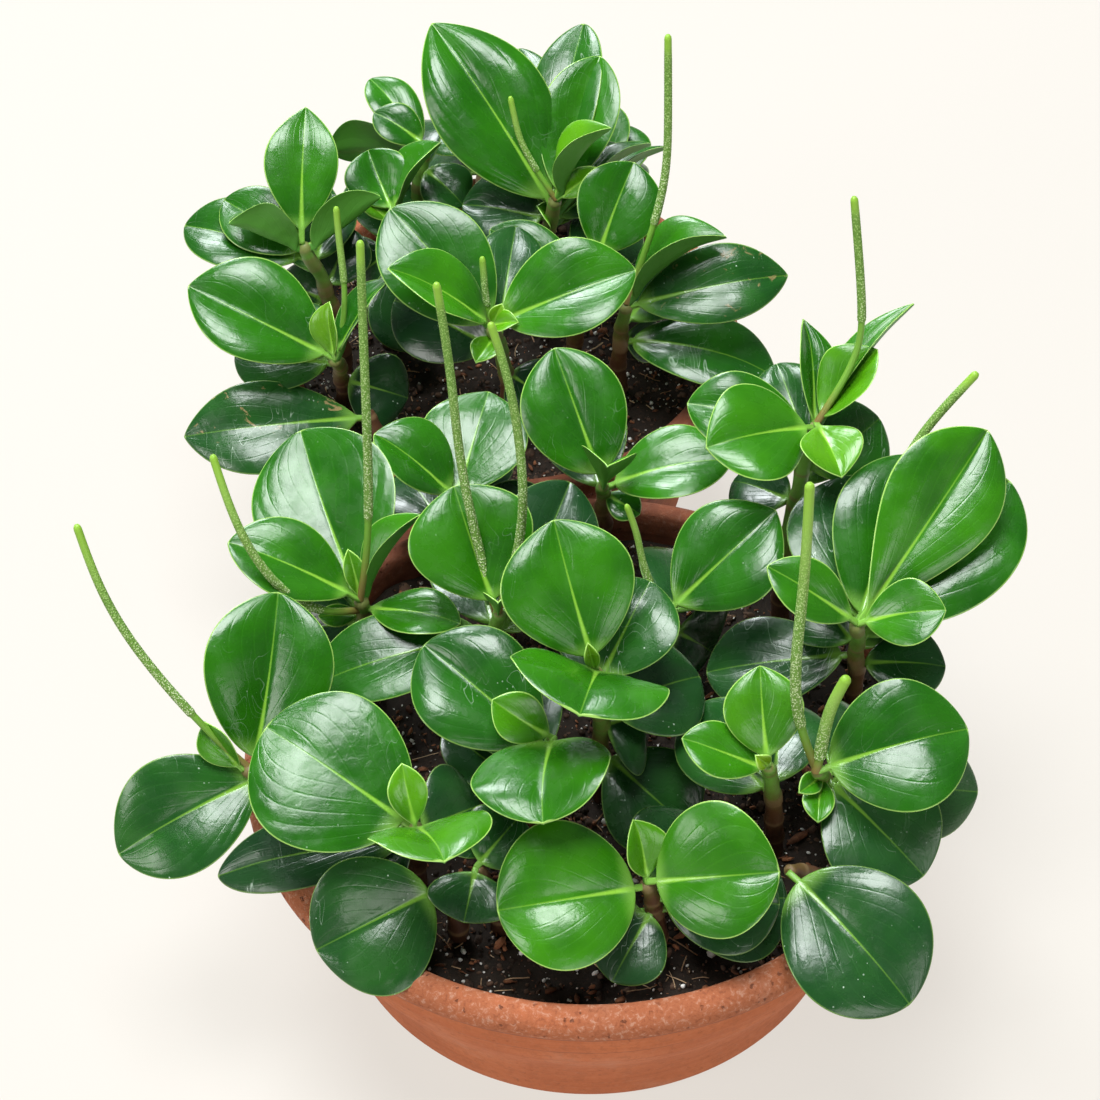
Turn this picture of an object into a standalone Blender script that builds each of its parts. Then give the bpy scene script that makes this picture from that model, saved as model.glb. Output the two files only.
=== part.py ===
"""A peperomia planting: two round terracotta bowls that stand one behind the other,
filled with potting soil, with leafy shoots and pebbled flower spikes growing from both.

Everything is in metres, +Z up, and the bowls stand on z = 0. The leaves are laid out the
way a florist would sketch them: a square view frame, 550 mm wide, is held up before the
planting, and each leaf tip, shoot top and spike is given by its place in that frame
(millimetres across and down) together with how far it comes forward.
"""

import math

import bmesh
import bpy
import numpy as np

mm = 0.001

# The view frame and the eye behind it
viewFrame = 550 * mm
viewDistance = 1728 * mm
eyeDistance = 1800 * mm
viewElevation = math.radians(47.2)
viewRoll = math.radians(-1.0)
viewTarget = np.array([-17.4, 136.6, 111.0]) * mm

# The bowls
potHeight = 120 * mm
lipHeight = 14 * mm
lipDepth = 15 * mm
wallThickness = 9 * mm
floorThickness = 11 * mm
drainRadius = 11 * mm
bandHeight = 86 * mm
soilLevel = 105 * mm
touchGap = 0.3 * mm
roundSteps = 36
stemSteps = 3
stemSides = 6
spikeSides = 6

bowls = {
    "front": {"centre": (0, 0), "rim": 170, "foot": 126},
    "rear": {"centre": (-41, 296.9), "rim": 130, "foot": 97},
}

# The stems and the leaves
stemFootRadius = 4.4 * mm
stemTopRadius = 2.8 * mm
petioleRadius = 1.5 * mm
leafThickness = 1.6 * mm
spikeRadius = 2.9 * mm

# One entry for each shoot: the bowl it grows in, where its root leaves the soil (from
# the bowl's centre), its top in the view frame, and how high the top is over the floor.
# Each leaf has: where it starts along the stem, its tip across and down the frame, how
# far the tip comes forward, its width, roll, fold, bend in percent, and age.
shoots = {
    "rear_top": {
        "bowl": "rear", "root": (22, 20), "top": (278, 100), "height": 208,
        "leaves": [
            (0.90, 216, 11, 4, 66, -20, 12, 5, 0.45),
            (1.00, 304, 63, 24, 44, -80, 42, 4, 0.15),
            (0.97, 300, 28, -8, 44, 0, 16, 4, 0.40),
            (0.92, 291, 11, -20, 42, -25, 12, 4, 0.60),
            (0.85, 259, 23, -34, 40, 0, 8, 4, 0.70),
            (1.00, 299, 84, 6, 15, 0, 12, 4, 0.15),
            (0.72, 269, 103, 14, 22, 60, 30, 4, 0.20),
            (0.80, 231, 102, -6, 40, 20, 6, 4, 0.92),
            (0.80, 324, 70, -12, 26, -70, 30, 4, 0.50),
            (0.70, 333, 72, -24, 24, -70, 30, 4, 0.55),
            (0.75, 316, 75, -40, 36, 0, 6, 4, 0.75),
            (0.75, 250, 60, -50, 48, 0, 6, 6, 0.85),
            (0.65, 292, 62, -50, 44, 0, 6, 6, 0.85),
        ],
    },
    "rear_ridge": {
        "bowl": "rear", "root": (38, -28), "top": (298, 131), "height": 194,
        "leaves": [
            (1.00, 317, 81, 2, 47, 5, 10, 4, 0.45),
            (0.80, 245, 114, -4, 28, 30, 15, 4, 0.55),
            (0.70, 306, 105, -45, 42, 0, 6, 6, 0.85),
        ],
    },
    "rear_right": {
        "bowl": "rear", "root": (62, -42), "top": (313, 152), "height": 182,
        "leaves": [
            (1.00, 362, 117, 18, 52, -72, 40, 6, 0.35),
            (0.95, 394, 137, 4, 44, -8, 6, 8, 0.75),
            (0.55, 388, 187, 12, 46, -35, 5, 8, 0.65),
            (0.60, 330, 172, -16, 24, 0, 5, 4, 0.92),
            (0.70, 346, 130, -40, 44, -15, 6, 6, 0.85),
        ],
    },
    "rear_heart": {
        "bowl": "rear", "root": (4, -66), "top": (246, 163), "height": 194,
        "leaves": [
            (0.92, 195, 104, -4, 58, 5, 5, 5, 0.55),
            (0.95, 194, 134, 24, 48, 48, 26, 6, 0.30),
            (1.00, 318, 135, 8, 54, -20, 12, 7, 0.40),
            (1.00, 251, 152, 8, 10, 0, 20, 4, 0.10),
            (1.00, 259, 161, 12, 16, -30, 34, 4, 0.15),
            (0.88, 238, 181, 14, 18, 20, 25, 4, 0.20),
            (0.70, 197, 150, -22, 48, 0, 6, 5, 0.95),
            (0.80, 258, 112, -30, 38, 0, 6, 4, 0.85),
            (0.50, 272, 200, -2, 38, -20, 6, 4, 0.95),
        ],
    },
    "rear_peak": {
        "bowl": "rear", "root": (-50, 42), "top": (213, 73), "height": 212,
        "leaves": [
            (1.00, 187, 56, 0, 24, 20, 10, 4, 0.55),
            (0.92, 165, 74, -16, 42, 125, 10, 4, 0.50),
            (0.97, 185, 39, -12, 27, 20, 10, 4, 0.50),
            (0.85, 232, 103, 4, 32, -20, 8, 4, 0.80),
            (0.75, 200, 62, -45, 42, 0, 6, 6, 0.85),
        ],
    },
    "rear_fold": {
        "bowl": "rear", "root": (-62, 6), "top": (197, 107), "height": 198,
        "leaves": [
            (1.00, 184, 75, -6, 38, -10, 20, -4, 0.50),
            (1.00, 220, 71, 8, 36, -68, 32, 4, 0.40),
            (0.92, 178, 98, 6, 13, 20, 20, 4, 0.15),
            (0.70, 180, 138, -10, 40, 15, 6, 4, 0.92),
            (0.65, 206, 176, 0, 42, -10, 6, 5, 0.93),
            (0.70, 186, 88, -45, 40, 10, 6, 6, 0.85),
        ],
    },
    "rear_left": {
        "bowl": "rear", "root": (-88, -16), "top": (151, 122), "height": 200,
        "leaves": [
            (1.00, 153, 53, -2, 40, 0, 6, 4, 0.40),
            (0.96, 190, 98, 16, 44, -105, 40, -5, 0.35),
            (0.96, 115, 110, 18, 46, 105, 38, -5, 0.35),
            (0.90, 112, 100, -12, 38, 15, 8, 4, 0.55),
            (0.85, 92, 112, -14, 44, 25, 8, 5, 0.60),
            (0.80, 166, 96, -30, 32, 0, 5, 4, 0.92),
            (0.65, 146, 88, -45, 44, 0, 6, 6, 0.85),
            (0.60, 176, 114, -4, 34, 0, 5, 5, 0.93),
            (0.50, 138, 141, -18, 30, 10, 5, 5, 0.95),
        ],
    },
    "rear_side": {
        "bowl": "rear", "root": (-86, -52), "top": (168, 180), "height": 172,
        "leaves": [
            (0.98, 94, 143, 6, 58, 18, 12, 6, 0.45),
            (1.00, 164, 151, 10, 24, -45, 32, 4, 0.10),
            (1.00, 193, 139, 0, 28, -60, 26, 4, 0.50),
            (0.80, 117, 178, -14, 38, 20, 6, 4, 0.78),
            (0.45, 204, 199, -4, 42, 0, 5, 4, 0.95),
            (0.70, 138, 160, -40, 44, 10, 6, 6, 0.85),
        ],
    },
    "rear_low": {
        "bowl": "rear", "root": (-62, -88), "top": (183, 206), "height": 136,
        "leaves": [
            (0.90, 92, 218, 14, 52, 12, 6, 9, 0.80),
        ],
    },
    "rear_back": {
        "bowl": "rear", "root": (-12, 80), "top": (243, 72), "height": 168,
        "leaves": [
            (1.00, 235, 44, -24, 46, 0, 8, 5, 0.50),
            (0.92, 264, 55, -22, 44, -15, 8, 5, 0.60),
            (0.92, 220, 60, -18, 42, 15, 8, 5, 0.60),
            (0.80, 246, 34, -44, 48, 0, 6, 6, 0.75),
            (0.70, 224, 70, -52, 48, 10, 6, 6, 0.85),
            (0.65, 262, 66, -52, 48, -10, 6, 6, 0.85),
        ],
    },
    "rear_corner": {
        "bowl": "rear", "root": (58, 52), "top": (303, 92), "height": 168,
        "leaves": [
            (1.00, 292, 52, -26, 42, 0, 8, 5, 0.50),
            (0.92, 312, 62, -22, 38, -10, 8, 5, 0.60),
            (0.85, 320, 92, -40, 40, -20, 6, 6, 0.80),
            (0.75, 284, 76, -40, 44, 10, 6, 6, 0.80),
            (0.65, 304, 78, -52, 46, 0, 6, 6, 0.90),
        ],
    },
    "bridge": {
        "bowl": "front", "root": (10, 140), "top": (302, 243), "height": 176,
        "leaves": [
            (1.00, 277, 174, 0, 54, 5, 5, 4, 0.45),
            (1.00, 304, 232, 30, 36, 180, 36, 4, 0.25),
            (0.90, 366, 230, 10, 46, -35, 10, 8, 0.40),
            (0.80, 320, 257, 4, 18, -20, 6, 4, 0.45),
            (0.75, 290, 206, -45, 46, 0, 6, 6, 0.85),
        ],
    },
    "north_west": {
        "bowl": "front", "root": (-74, 118), "top": (228, 250), "height": 172,
        "leaves": [
            (0.95, 244, 195, -18, 56, -14, 8, 5, 0.50),
            (1.00, 187, 217, 8, 48, 42, 20, 6, 0.45),
            (0.70, 276, 252, -16, 34, 0, 6, 4, 0.95),
            (0.75, 238, 216, -45, 48, 0, 6, 6, 0.85),
            (0.60, 200, 236, -40, 44, 15, 6, 6, 0.90),
        ],
    },
    "west_high": {
        "bowl": "front", "root": (-108, 52), "top": (180, 300), "height": 180,
        "leaves": [
            (0.95, 150, 215, -28, 74, 0, 10, 5, 0.50),
            (1.00, 114, 271, 14, 46, 30, 16, 7, 0.40),
            (1.00, 174, 275, 12, 12, 0, 20, 4, 0.15),
            (0.95, 210, 257, 10, 32, -68, 40, 5, 0.30),
            (0.85, 230, 311, 18, 32, -42, 8, 5, 0.40),
            (0.70, 147, 315, -16, 40, 15, 6, 4, 0.90),
            (0.80, 159, 308, 2, 12, 0, 10, 4, 0.30),
            (0.70, 150, 256, -50, 56, 0, 6, 6, 0.85),
        ],
    },
    "north": {
        "bowl": "front", "root": (-46, 34), "top": (249, 306), "height": 194,
        "leaves": [
            (1.00, 227, 243, 4, 62, 0, 4, 4, 0.40),
            (1.00, 249, 301, 18, 20, 180, 36, 4, 0.20),
            (0.60, 285, 241, -40, 54, 0, 5, 4, 0.95),
            (0.70, 155, 343, 0, 46, 25, 6, 6, 0.60),
            (0.70, 238, 270, -50, 50, 0, 6, 6, 0.85),
        ],
    },
    "centre": {
        "bowl": "front", "root": (6, -22), "top": (298, 335), "height": 214,
        "leaves": [
            (1.00, 277, 260, 6, 64, 4, 4, 4, 0.40),
            (1.00, 294, 322, 14, 9, 0, 30, 4, 0.05),
            (0.97, 291, 353, 54, 76, 8, 8, 6, 0.40),
            (0.85, 325, 290, -8, 50, -10, 8, 5, 0.72),
            (0.30, 345, 415, 2, 56, -10, 6, 6, 0.85),
            (0.50, 322, 358, -6, 56, 0, 5, 4, 0.92),
            (0.60, 350, 338, -20, 50, -10, 6, 5, 0.90),
            (0.70, 300, 290, -45, 52, 0, 6, 6, 0.85),
        ],
    },
    "middle": {
        "bowl": "front", "root": (-30, -60), "top": (277, 369), "height": 186,
        "leaves": [
            (1.00, 271, 410, 46, 68, 20, 8, 6, 0.40),
            (1.00, 246, 350, 12, 25, 0, 12, 4, 0.25),
            (0.90, 212, 322, -8, 60, 0, 8, 5, 0.65),
            (0.70, 250, 340, -45, 50, 0, 6, 6, 0.85),
            (0.45, 222, 366, -8, 34, 30, 6, 5, 0.92),
        ],
    },
    "west": {
        "bowl": "front", "root": (-124, -34), "top": (122, 385), "height": 156,
        "leaves": [
            (0.95, 139, 296, 0, 64, 0, 12, 5, 0.45),
            (1.00, 102, 361, 8, 22, -35, 28, 4, 0.25),
            (0.85, 59, 427, 6, 58, 5, 6, 7, 0.75),
            (0.75, 134, 340, -45, 50, 0, 6, 6, 0.85),
        ],
    },
    "bowl_left": {
        "bowl": "front", "root": (-84, -72), "top": (208, 415), "height": 178,
        "leaves": [
            (0.95, 133, 363, -18, 78, 0, 3, 8, 0.50),
            (1.00, 201, 382, 10, 19, 0, 8, 4, 0.15),
            (0.98, 222, 429, 44, 60, -36, 12, 6, 0.25),
            (0.70, 241, 402, -24, 48, 0, 6, 4, 0.92),
            (0.60, 180, 430, -10, 36, 0, 6, 4, 0.92),
            (0.55, 108, 437, -8, 36, 20, 6, 5, 0.95),
            (0.65, 170, 386, -40, 54, 0, 6, 6, 0.85),
        ],
    },
    "lip_left": {
        "bowl": "front", "root": (-64, -104), "top": (221, 443), "height": 138,
        "leaves": [
            (1.00, 158, 475, 8, 68, 8, 6, 7, 0.80),
        ],
    },
    "soil_left": {
        "bowl": "front", "root": (-44, -100), "top": (238, 434), "height": 142,
        "leaves": [
            (1.00, 260, 408, -2, 38, 0, 5, 4, 0.80),
            (1.00, 232, 461, 10, 42, 0, 5, 5, 0.85),
        ],
    },
    "lip_mid": {
        "bowl": "front", "root": (30, -112), "top": (323, 441), "height": 152,
        "leaves": [
            (1.00, 389, 436, 26, 64, -12, 5, 7, 0.30),
            (1.00, 317, 410, 12, 27, 30, 26, 4, 0.20),
            (0.92, 249, 455, 14, 70, 4, 4, 9, 0.30),
            (0.50, 256, 467, 0, 36, 25, 5, 4, 0.95),
            (0.55, 306, 491, 8, 38, 0, 5, 4, 0.95),
            (0.70, 390, 452, 0, 54, -8, 5, 6, 0.90),
            (0.50, 394, 449, -10, 60, -8, 5, 6, 0.95),
            (0.70, 345, 405, -35, 48, 0, 6, 6, 0.85),
        ],
    },
    "lip_right": {
        "bowl": "front", "root": (112, -86), "top": (394, 436), "height": 142,
        "leaves": [
            (1.00, 455, 502, 22, 70, 4, 6, 7, 0.85),
        ],
    },
    "heart_right": {
        "bowl": "front", "root": (88, -58), "top": (384, 383), "height": 184,
        "leaves": [
            (1.00, 380, 333, 4, 38, 0, 5, 4, 0.25),
            (0.92, 341, 369, 10, 29, 25, 12, 5, 0.35),
            (1.00, 378, 378, 10, 10, 0, 30, 4, 0.05),
            (0.55, 344, 355, -26, 46, 0, 6, 4, 0.80),
            (0.60, 390, 350, -45, 46, 0, 6, 6, 0.85),
        ],
    },
    "east": {
        "bowl": "front", "root": (116, -44), "top": (408, 386), "height": 176,
        "leaves": [
            (1.00, 484, 364, 4, 64, -6, 6, 9, 0.55),
            (0.75, 462, 438, 12, 60, 0, 6, 7, 0.85),
            (0.80, 400, 396, 14, 12, 0, 20, 4, 0.30),
            (0.78, 409, 411, 16, 16, 0, 12, 4, 0.30),
            (0.65, 490, 396, -18, 50, 0, 6, 6, 0.90),
            (0.70, 440, 366, -45, 52, 0, 6, 6, 0.85),
        ],
    },
    "north_east": {
        "bowl": "front", "root": (44, 56), "top": (333, 307), "height": 176,
        "leaves": [
            (1.00, 388, 255, 4, 56, -14, 8, 6, 0.55),
            (0.55, 356, 326, -14, 50, 0, 6, 4, 0.90),
            (0.75, 346, 276, -50, 50, 0, 6, 6, 0.85),
        ],
    },
    "east_high": {
        "bowl": "front", "root": (132, 24), "top": (429, 312), "height": 192,
        "leaves": [
            (1.00, 494, 215, -8, 58, 0, 10, 6, 0.35),
            (0.92, 505, 240, -26, 70, -8, 6, 5, 0.55),
            (0.95, 457, 227, -16, 54, 14, 8, 4, 0.55),
            (0.90, 426, 237, -34, 66, 0, 6, 4, 0.80),
            (1.00, 384, 283, 14, 30, 20, 8, 6, 0.35),
            (1.00, 473, 305, 18, 34, -15, 6, 6, 0.35),
            (0.50, 473, 333, 0, 36, -20, 6, 5, 0.85),
            (0.60, 353, 336, -16, 50, 25, 6, 5, 0.90),
            (0.70, 408, 297, -14, 42, 0, 5, 4, 0.75),
            (0.70, 468, 272, -55, 56, -10, 6, 6, 0.85),
            (0.55, 440, 282, -50, 50, 10, 6, 6, 0.85),
        ],
    },
    "far_east": {
        "bowl": "front", "root": (100, 92), "top": (408, 212), "height": 234,
        "leaves": [
            (0.95, 344, 201, 4, 42, 20, 8, 5, 0.45),
            (0.98, 354, 223, 28, 54, 20, 10, 6, 0.30),
            (1.00, 421, 238, 24, 34, -20, 20, 6, 0.15),
            (1.00, 438, 174, 6, 40, -40, 26, -4, 0.20),
            (0.95, 403, 159, -8, 28, 40, 26, 4, 0.45),
            (0.95, 456, 151, -2, 26, -60, 30, 4, 0.35),
            (0.75, 440, 209, -16, 44, 0, 8, 5, 0.60),
            (0.85, 388, 181, -22, 36, 0, 6, 4, 0.75),
            (0.60, 366, 240, -24, 32, 20, 6, 4, 0.85),
            (0.65, 424, 200, -45, 40, 0, 6, 6, 0.85),
        ],
    },
}

# One entry for each flower spike: the shoot that carries it, where it leaves the stem,
# the points it passes in the view frame, and how far each one comes forward of the first.
spikes = {
    "spike_far_left": ("west", 0.95, [(100, 362, 14), (57, 311, 40), (38, 262, 62)]),
    "spike_left": ("west_high", 0.85, [(160, 306, 20), (138, 293, 36), (119, 265, 52), (106, 227, 64)]),
    "spike_tall": ("west_high", 1.00, [(185, 262, 26), (182, 180, 76), (180, 120, 110)]),
    "spike_mid_left": ("north", 0.90, [(231, 240, 30), (226, 190, 60), (218, 141, 90)]),
    "spike_mid": ("north", 1.00, [(263, 262, 30), (257, 200, 66), (245, 161, 88)]),
    "spike_heart": ("rear_heart", 1.00, [(243, 150, 8), (242, 139, 14), (241, 128, 20)]),
    "spike_top_right": ("rear_right", 1.00, [(332, 98, 24), (334, 60, 46), (334, 17, 72)]),
    "spike_far_east": ("far_east", 1.00, [(429, 178, 12), (431, 150, 26), (427, 98, 56)]),
    "spike_east": ("east_high", 0.90, [(440, 262, -36), (456, 222, -44), (489, 186, -30)]),
    "spike_right": ("east", 0.95, [(396, 350, 34), (402, 296, 62), (405, 241, 90)]),
    "spike_bud": ("east", 1.00, [(411, 372, 8), (415, 354, 20), (424, 338, 30)]),
    "spike_young": ("north_east", 0.95, [(322, 285, 12), (319, 268, 22), (313, 252, 32)]),
    "spike_top": ("rear_top", 1.00, [(262, 75, 14), (258, 62, 22), (255, 48, 30)]),
    "spike_rear_left": ("rear_side", 0.90, [(173, 150, 10), (170, 125, 22), (168, 103, 34)]),
}


def unit(vector):
    """The same direction, one long."""
    return vector / np.linalg.norm(vector)


def viewAxes():
    """The eye's place, and its forward, right and up directions."""
    forward = np.array([0.0, math.cos(viewElevation), -math.sin(viewElevation)])
    level = np.array([1.0, 0.0, 0.0])
    upright = np.array([0.0, math.sin(viewElevation), math.cos(viewElevation)])
    right = level * math.cos(viewRoll) + upright * math.sin(viewRoll)
    up = upright * math.cos(viewRoll) - level * math.sin(viewRoll)
    return viewTarget - forward * eyeDistance, forward, right, up


eye, forward, right, up = viewAxes()


def sightLine(across, down):
    """The line of sight through a place in the view frame, one long along forward."""
    sideways = (across * mm - viewFrame / 2) / viewDistance
    upwards = (viewFrame / 2 - down * mm) / viewDistance
    return forward + right * sideways + up * upwards


def pointAtHeight(across, down, height):
    """Where a line of sight meets a height over the floor."""
    line = sightLine(across, down)
    return eye + line * (height - eye[2]) / line[2]


def pointForward(across, down, origin, toward):
    """The point on a line of sight that is a distance nearer to the eye than origin."""
    depth = (origin - eye) @ forward - toward * mm
    return eye + sightLine(across, down) * depth


def stemCorners(shoot):
    """The three points that bend a stem: its root, a point straight above, and its top."""
    centre = bowls[shoot["bowl"]]["centre"]
    root = np.array([centre[0] + shoot["root"][0], centre[1] + shoot["root"][1], 0]) * mm
    root[2] = soilLevel + touchGap
    top = pointAtHeight(*shoot["top"], shoot["height"] * mm)
    return root, root + np.array([0, 0, 0.55 * (top[2] - root[2])]), top


def stemPoint(shoot, share):
    """A point on a stem, which rises straight from its root and then leans to its top."""
    root, middle, top = stemCorners(shoot)
    return root * (1 - share) ** 2 + middle * 2 * share * (1 - share) + top * share**2


def stemDirection(shoot, share):
    """The direction in which a stem grows at a share of its length."""
    root, middle, top = stemCorners(shoot)
    return unit((middle - root) * (1 - share) + (top - middle) * share)


def leafFrame(shoot, leaf):
    """A leaf's start, its length, and the directions along it, across it and out of it."""
    start = stemPoint(shoot, leaf[0])
    tip = pointForward(leaf[1], leaf[2], start, leaf[3])
    along = unit(tip - start)
    toEye = unit(eye - (start + tip) / 2)
    facing = unit(toEye - along * (toEye @ along))
    side = np.cross(along, facing)
    roll = math.radians(leaf[5])
    out = facing * math.cos(roll) + side * math.sin(roll)
    across = side * math.cos(roll) - facing * math.sin(roll)
    return start, np.linalg.norm(tip - start), along, across, out


def leafRings(shoot, leaf):
    """The four-cornered rings of a plain leaf: petiole, blade, and the single tip point."""
    start, length, along, across, out = leafFrame(shoot, leaf)
    width, fold, bend = leaf[4] * mm, math.radians(leaf[6]), leaf[7] / 100
    petiole = min(0.16 * length, 12 * mm)
    shares = (0.0, 0.30, 0.72)
    spreads = (0.05, 0.80, 0.95)
    rings = []
    for share, spread in [(-1.0, 0.0)] + list(zip(shares, spreads)) + [(1.0, 0.0)]:
        distance = 0.0 if share < 0 else petiole + (length - petiole) * share
        rise = 4 * bend * length * (distance / length) * (1 - distance / length)
        centre = start + along * distance + out * rise
        half = max(width / 2 * spread, petioleRadius)
        lift = out * (half * math.sin(fold) * (spread > 0.1))
        reach = across * half * (math.cos(fold) if spread > 0.1 else 1.0)
        thick = petioleRadius if spread < 0.1 else leafThickness / 2
        if share == 1.0:
            rings.append([start + along * length])
        else:
            rings.append([centre - reach + lift, centre - out * thick,
                          centre + reach + lift, centre + out * thick])
    return rings


def tubeRings(points, directions, radii, sides):
    """Rings of a round rod along points, each square to the direction given for it."""
    rings = []
    turns = np.arange(sides) * 2 * math.pi / sides
    for point, along, radius in zip(points, directions, radii):
        first = unit(np.cross(along, [0.31, 0.95, 0.0]))
        second = np.cross(along, first)
        rings.append([point + (first * math.cos(turn) + second * math.sin(turn)) * radius
                      for turn in turns])
    return rings


def closedMesh(rings):
    """Corners and faces of the closed skin over a list of rings; a one-point ring is a tip."""
    corners = []
    starts = []
    for ring in rings:
        starts.append(len(corners))
        corners.extend(ring)
    faces = []
    for index in range(len(rings) - 1):
        lower, upper = rings[index], rings[index + 1]
        a, b, count = starts[index], starts[index + 1], len(rings[index])
        for k in range(count):
            n = (k + 1) % count
            if len(upper) == 1:
                faces.append((a + k, a + n, b))
            elif len(lower) > 1:
                faces.append((a + k, a + n, b + n, b + k))
    faces.append(tuple(reversed(range(len(rings[0])))))
    if len(rings[-1]) > 1:
        faces.append(tuple(starts[-1] + k for k in range(len(rings[-1]))))
    return corners, faces


def stemRings(shoot, first, last):
    """The rings of a stretch of a shoot's stem, which is thickest at the soil."""
    shares = [first + (last - first) * step / stemSteps for step in range(stemSteps + 1)]
    points = [stemPoint(shoot, share) for share in shares]
    directions = [stemDirection(shoot, share) for share in shares]
    radii = [stemFootRadius + (stemTopRadius - stemFootRadius) * share for share in shares]
    return tubeRings(points, directions, radii, stemSides)


def crownStart(shoot):
    """How far along its stem a shoot's lowest leaf leaves room for the bare stem below."""
    return min(leaf[0] for leaf in shoot["leaves"]) - 0.12


def spikePoints(name):
    """A spike's middle line: it leaves its stem and passes its three points."""
    shootName, share, places = spikes[name]
    origin = stemPoint(shoots[shootName], share)
    passed = [pointForward(place[0], place[1], origin, place[2]) for place in places]
    return [origin] + passed


def smoothLine(points, steps):
    """A smooth line through the points, with a number of steps between each two."""
    padded = [2 * points[0] - points[1]] + list(points) + [2 * points[-1] - points[-2]]
    line = []
    for index in range(1, len(padded) - 2):
        a, b, c, d = padded[index - 1:index + 3]
        for step in range(steps):
            t = step / steps
            line.append(0.5 * (2 * b + (c - a) * t + (2 * a - 5 * b + 4 * c - d) * t**2
                               + (3 * b - a - 3 * c + d) * t**3))
    line.append(points[-1])
    return line


def spikeRings(name):
    """The rings of a flower spike: a thin stalk, then the thicker pebbled part."""
    line = smoothLine(spikePoints(name), 3)
    ends = [line[0]] + line + [line[-1]]
    directions = [unit(after - before) for before, after in zip(ends, ends[2:])]
    radii = [spikeRadius * (0.55 + 0.45 * min(1, index / 3)) for index in range(len(line))]
    radii[-1] = spikeRadius * 0.45
    return tubeRings(line, directions, radii, spikeSides)


def bowlOutline(bowl):
    """A bowl's profile as (radius, height), down its outside and up its inside."""
    rim, foot = bowl["rim"] * mm, bowl["foot"] * mm
    neck = rim - 7 * mm
    inner = rim - lipDepth
    return [
        (rim - 11 * mm, potHeight),
        (rim - 3 * mm, potHeight - 2.5 * mm),
        (rim, potHeight - 9 * mm),
        (rim - 2 * mm, potHeight - lipHeight),
        (neck, potHeight - lipHeight - 4 * mm),
        (neck - 5 * mm, bandHeight),
        (foot + 4 * mm, 5 * mm),
        (foot, 0.0),
        (drainRadius, 0.0),
        (drainRadius, floorThickness),
        (foot - wallThickness, floorThickness),
        (inner - 4 * mm, bandHeight),
        (inner, potHeight - 4 * mm),
    ]


def soilOutline(bowl):
    """The soil's profile: it stands just clear of the bowl's wall and floor."""
    rim, foot = bowl["rim"] * mm, bowl["foot"] * mm
    inner = rim - lipDepth
    clear = 0.6 * mm
    rise = (soilLevel - bandHeight) / (potHeight - 4 * mm - bandHeight)
    edge = inner - 4 * mm + 4 * mm * rise
    return [
        (0.0, soilLevel),
        (edge - clear, soilLevel),
        (inner - 4 * mm - clear, bandHeight),
        (foot - wallThickness - clear, floorThickness + touchGap),
        (0.0, floorThickness + touchGap),
    ]


# Modelling in Blender


def clearScene():
    """Take every object out of the scene."""
    for item in list(bpy.data.objects):
        bpy.data.objects.remove(item, do_unlink=True)


def makeMaterial(name, colour, roughness):
    """A plain Principled material."""
    material = bpy.data.materials.new(name)
    material.use_nodes = True
    surface = material.node_tree.nodes["Principled BSDF"]
    surface.inputs["Base Color"].default_value = (*colour, 1.0)
    surface.inputs["Roughness"].default_value = roughness
    surface.inputs["Metallic"].default_value = 0.0
    return material


def makeObject(name, corners, faces, material):
    """An object from corners and faces, its faces turned outward."""
    mesh = bpy.data.meshes.new(name)
    mesh.from_pydata([tuple(map(float, corner)) for corner in corners], [], faces)
    shape = bmesh.new()
    shape.from_mesh(mesh)
    bmesh.ops.recalc_face_normals(shape, faces=shape.faces)
    shape.to_mesh(mesh)
    shape.free()
    mesh.materials.append(material)
    item = bpy.data.objects.new(name, mesh)
    bpy.context.scene.collection.objects.link(item)
    return item


def turned(name, outline, centre, material):
    """A solid of revolution about an upright axis, spun from a closed or axis-ended outline."""
    onAxis = outline[0][0] == 0.0
    corners = []
    faces = []
    for step in range(roundSteps):
        turn = 2 * math.pi * step / roundSteps
        for radius, height in outline:
            corners.append((radius * math.cos(turn), radius * math.sin(turn), height))
    count = len(outline)
    spans = count - 1 if onAxis else count
    for step in range(roundSteps):
        here, there = step * count, (step + 1) % roundSteps * count
        for k in range(spans):
            n = (k + 1) % count
            faces.append((here + k, here + n, there + n, there + k))
    item = makeObject(name, corners, faces, material)
    shape = bmesh.new()
    shape.from_mesh(item.data)
    bmesh.ops.remove_doubles(shape, verts=shape.verts, dist=0.01 * mm)
    bmesh.ops.dissolve_degenerate(shape, edges=shape.edges, dist=0.01 * mm)
    bmesh.ops.recalc_face_normals(shape, faces=shape.faces)
    shape.to_mesh(item.data)
    shape.free()
    item.data.shade_smooth()
    item.location = (centre[0] * mm, centre[1] * mm, 0.0)
    return item


def joined(item, others):
    """Boolean unions of an object with others, kept as its own mesh; the others go."""
    for other in others:
        union = item.modifiers.new("union", "BOOLEAN")
        union.operation = "UNION"
        union.solver = "EXACT"
        union.object = other
        bpy.context.view_layer.update()
        graph = bpy.context.evaluated_depsgraph_get()
        result = bpy.data.meshes.new_from_object(item.evaluated_get(graph))
        item.modifiers.remove(union)
        item.data = result
        bpy.data.objects.remove(other, do_unlink=True)
    item.data.name = item.name
    return item


def makeStem(name, shoot, material):
    """The bare foot of a shoot, from the soil to just under its lowest leaf."""
    start, end = stemPoint(shoot, 0.0), stemPoint(shoot, 1.0)
    last = crownStart(shoot) - 1.5 * touchGap / np.linalg.norm(end - start)
    return makeObject("stem_" + name, *closedMesh(stemRings(shoot, 0.0, last)), material)


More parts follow.
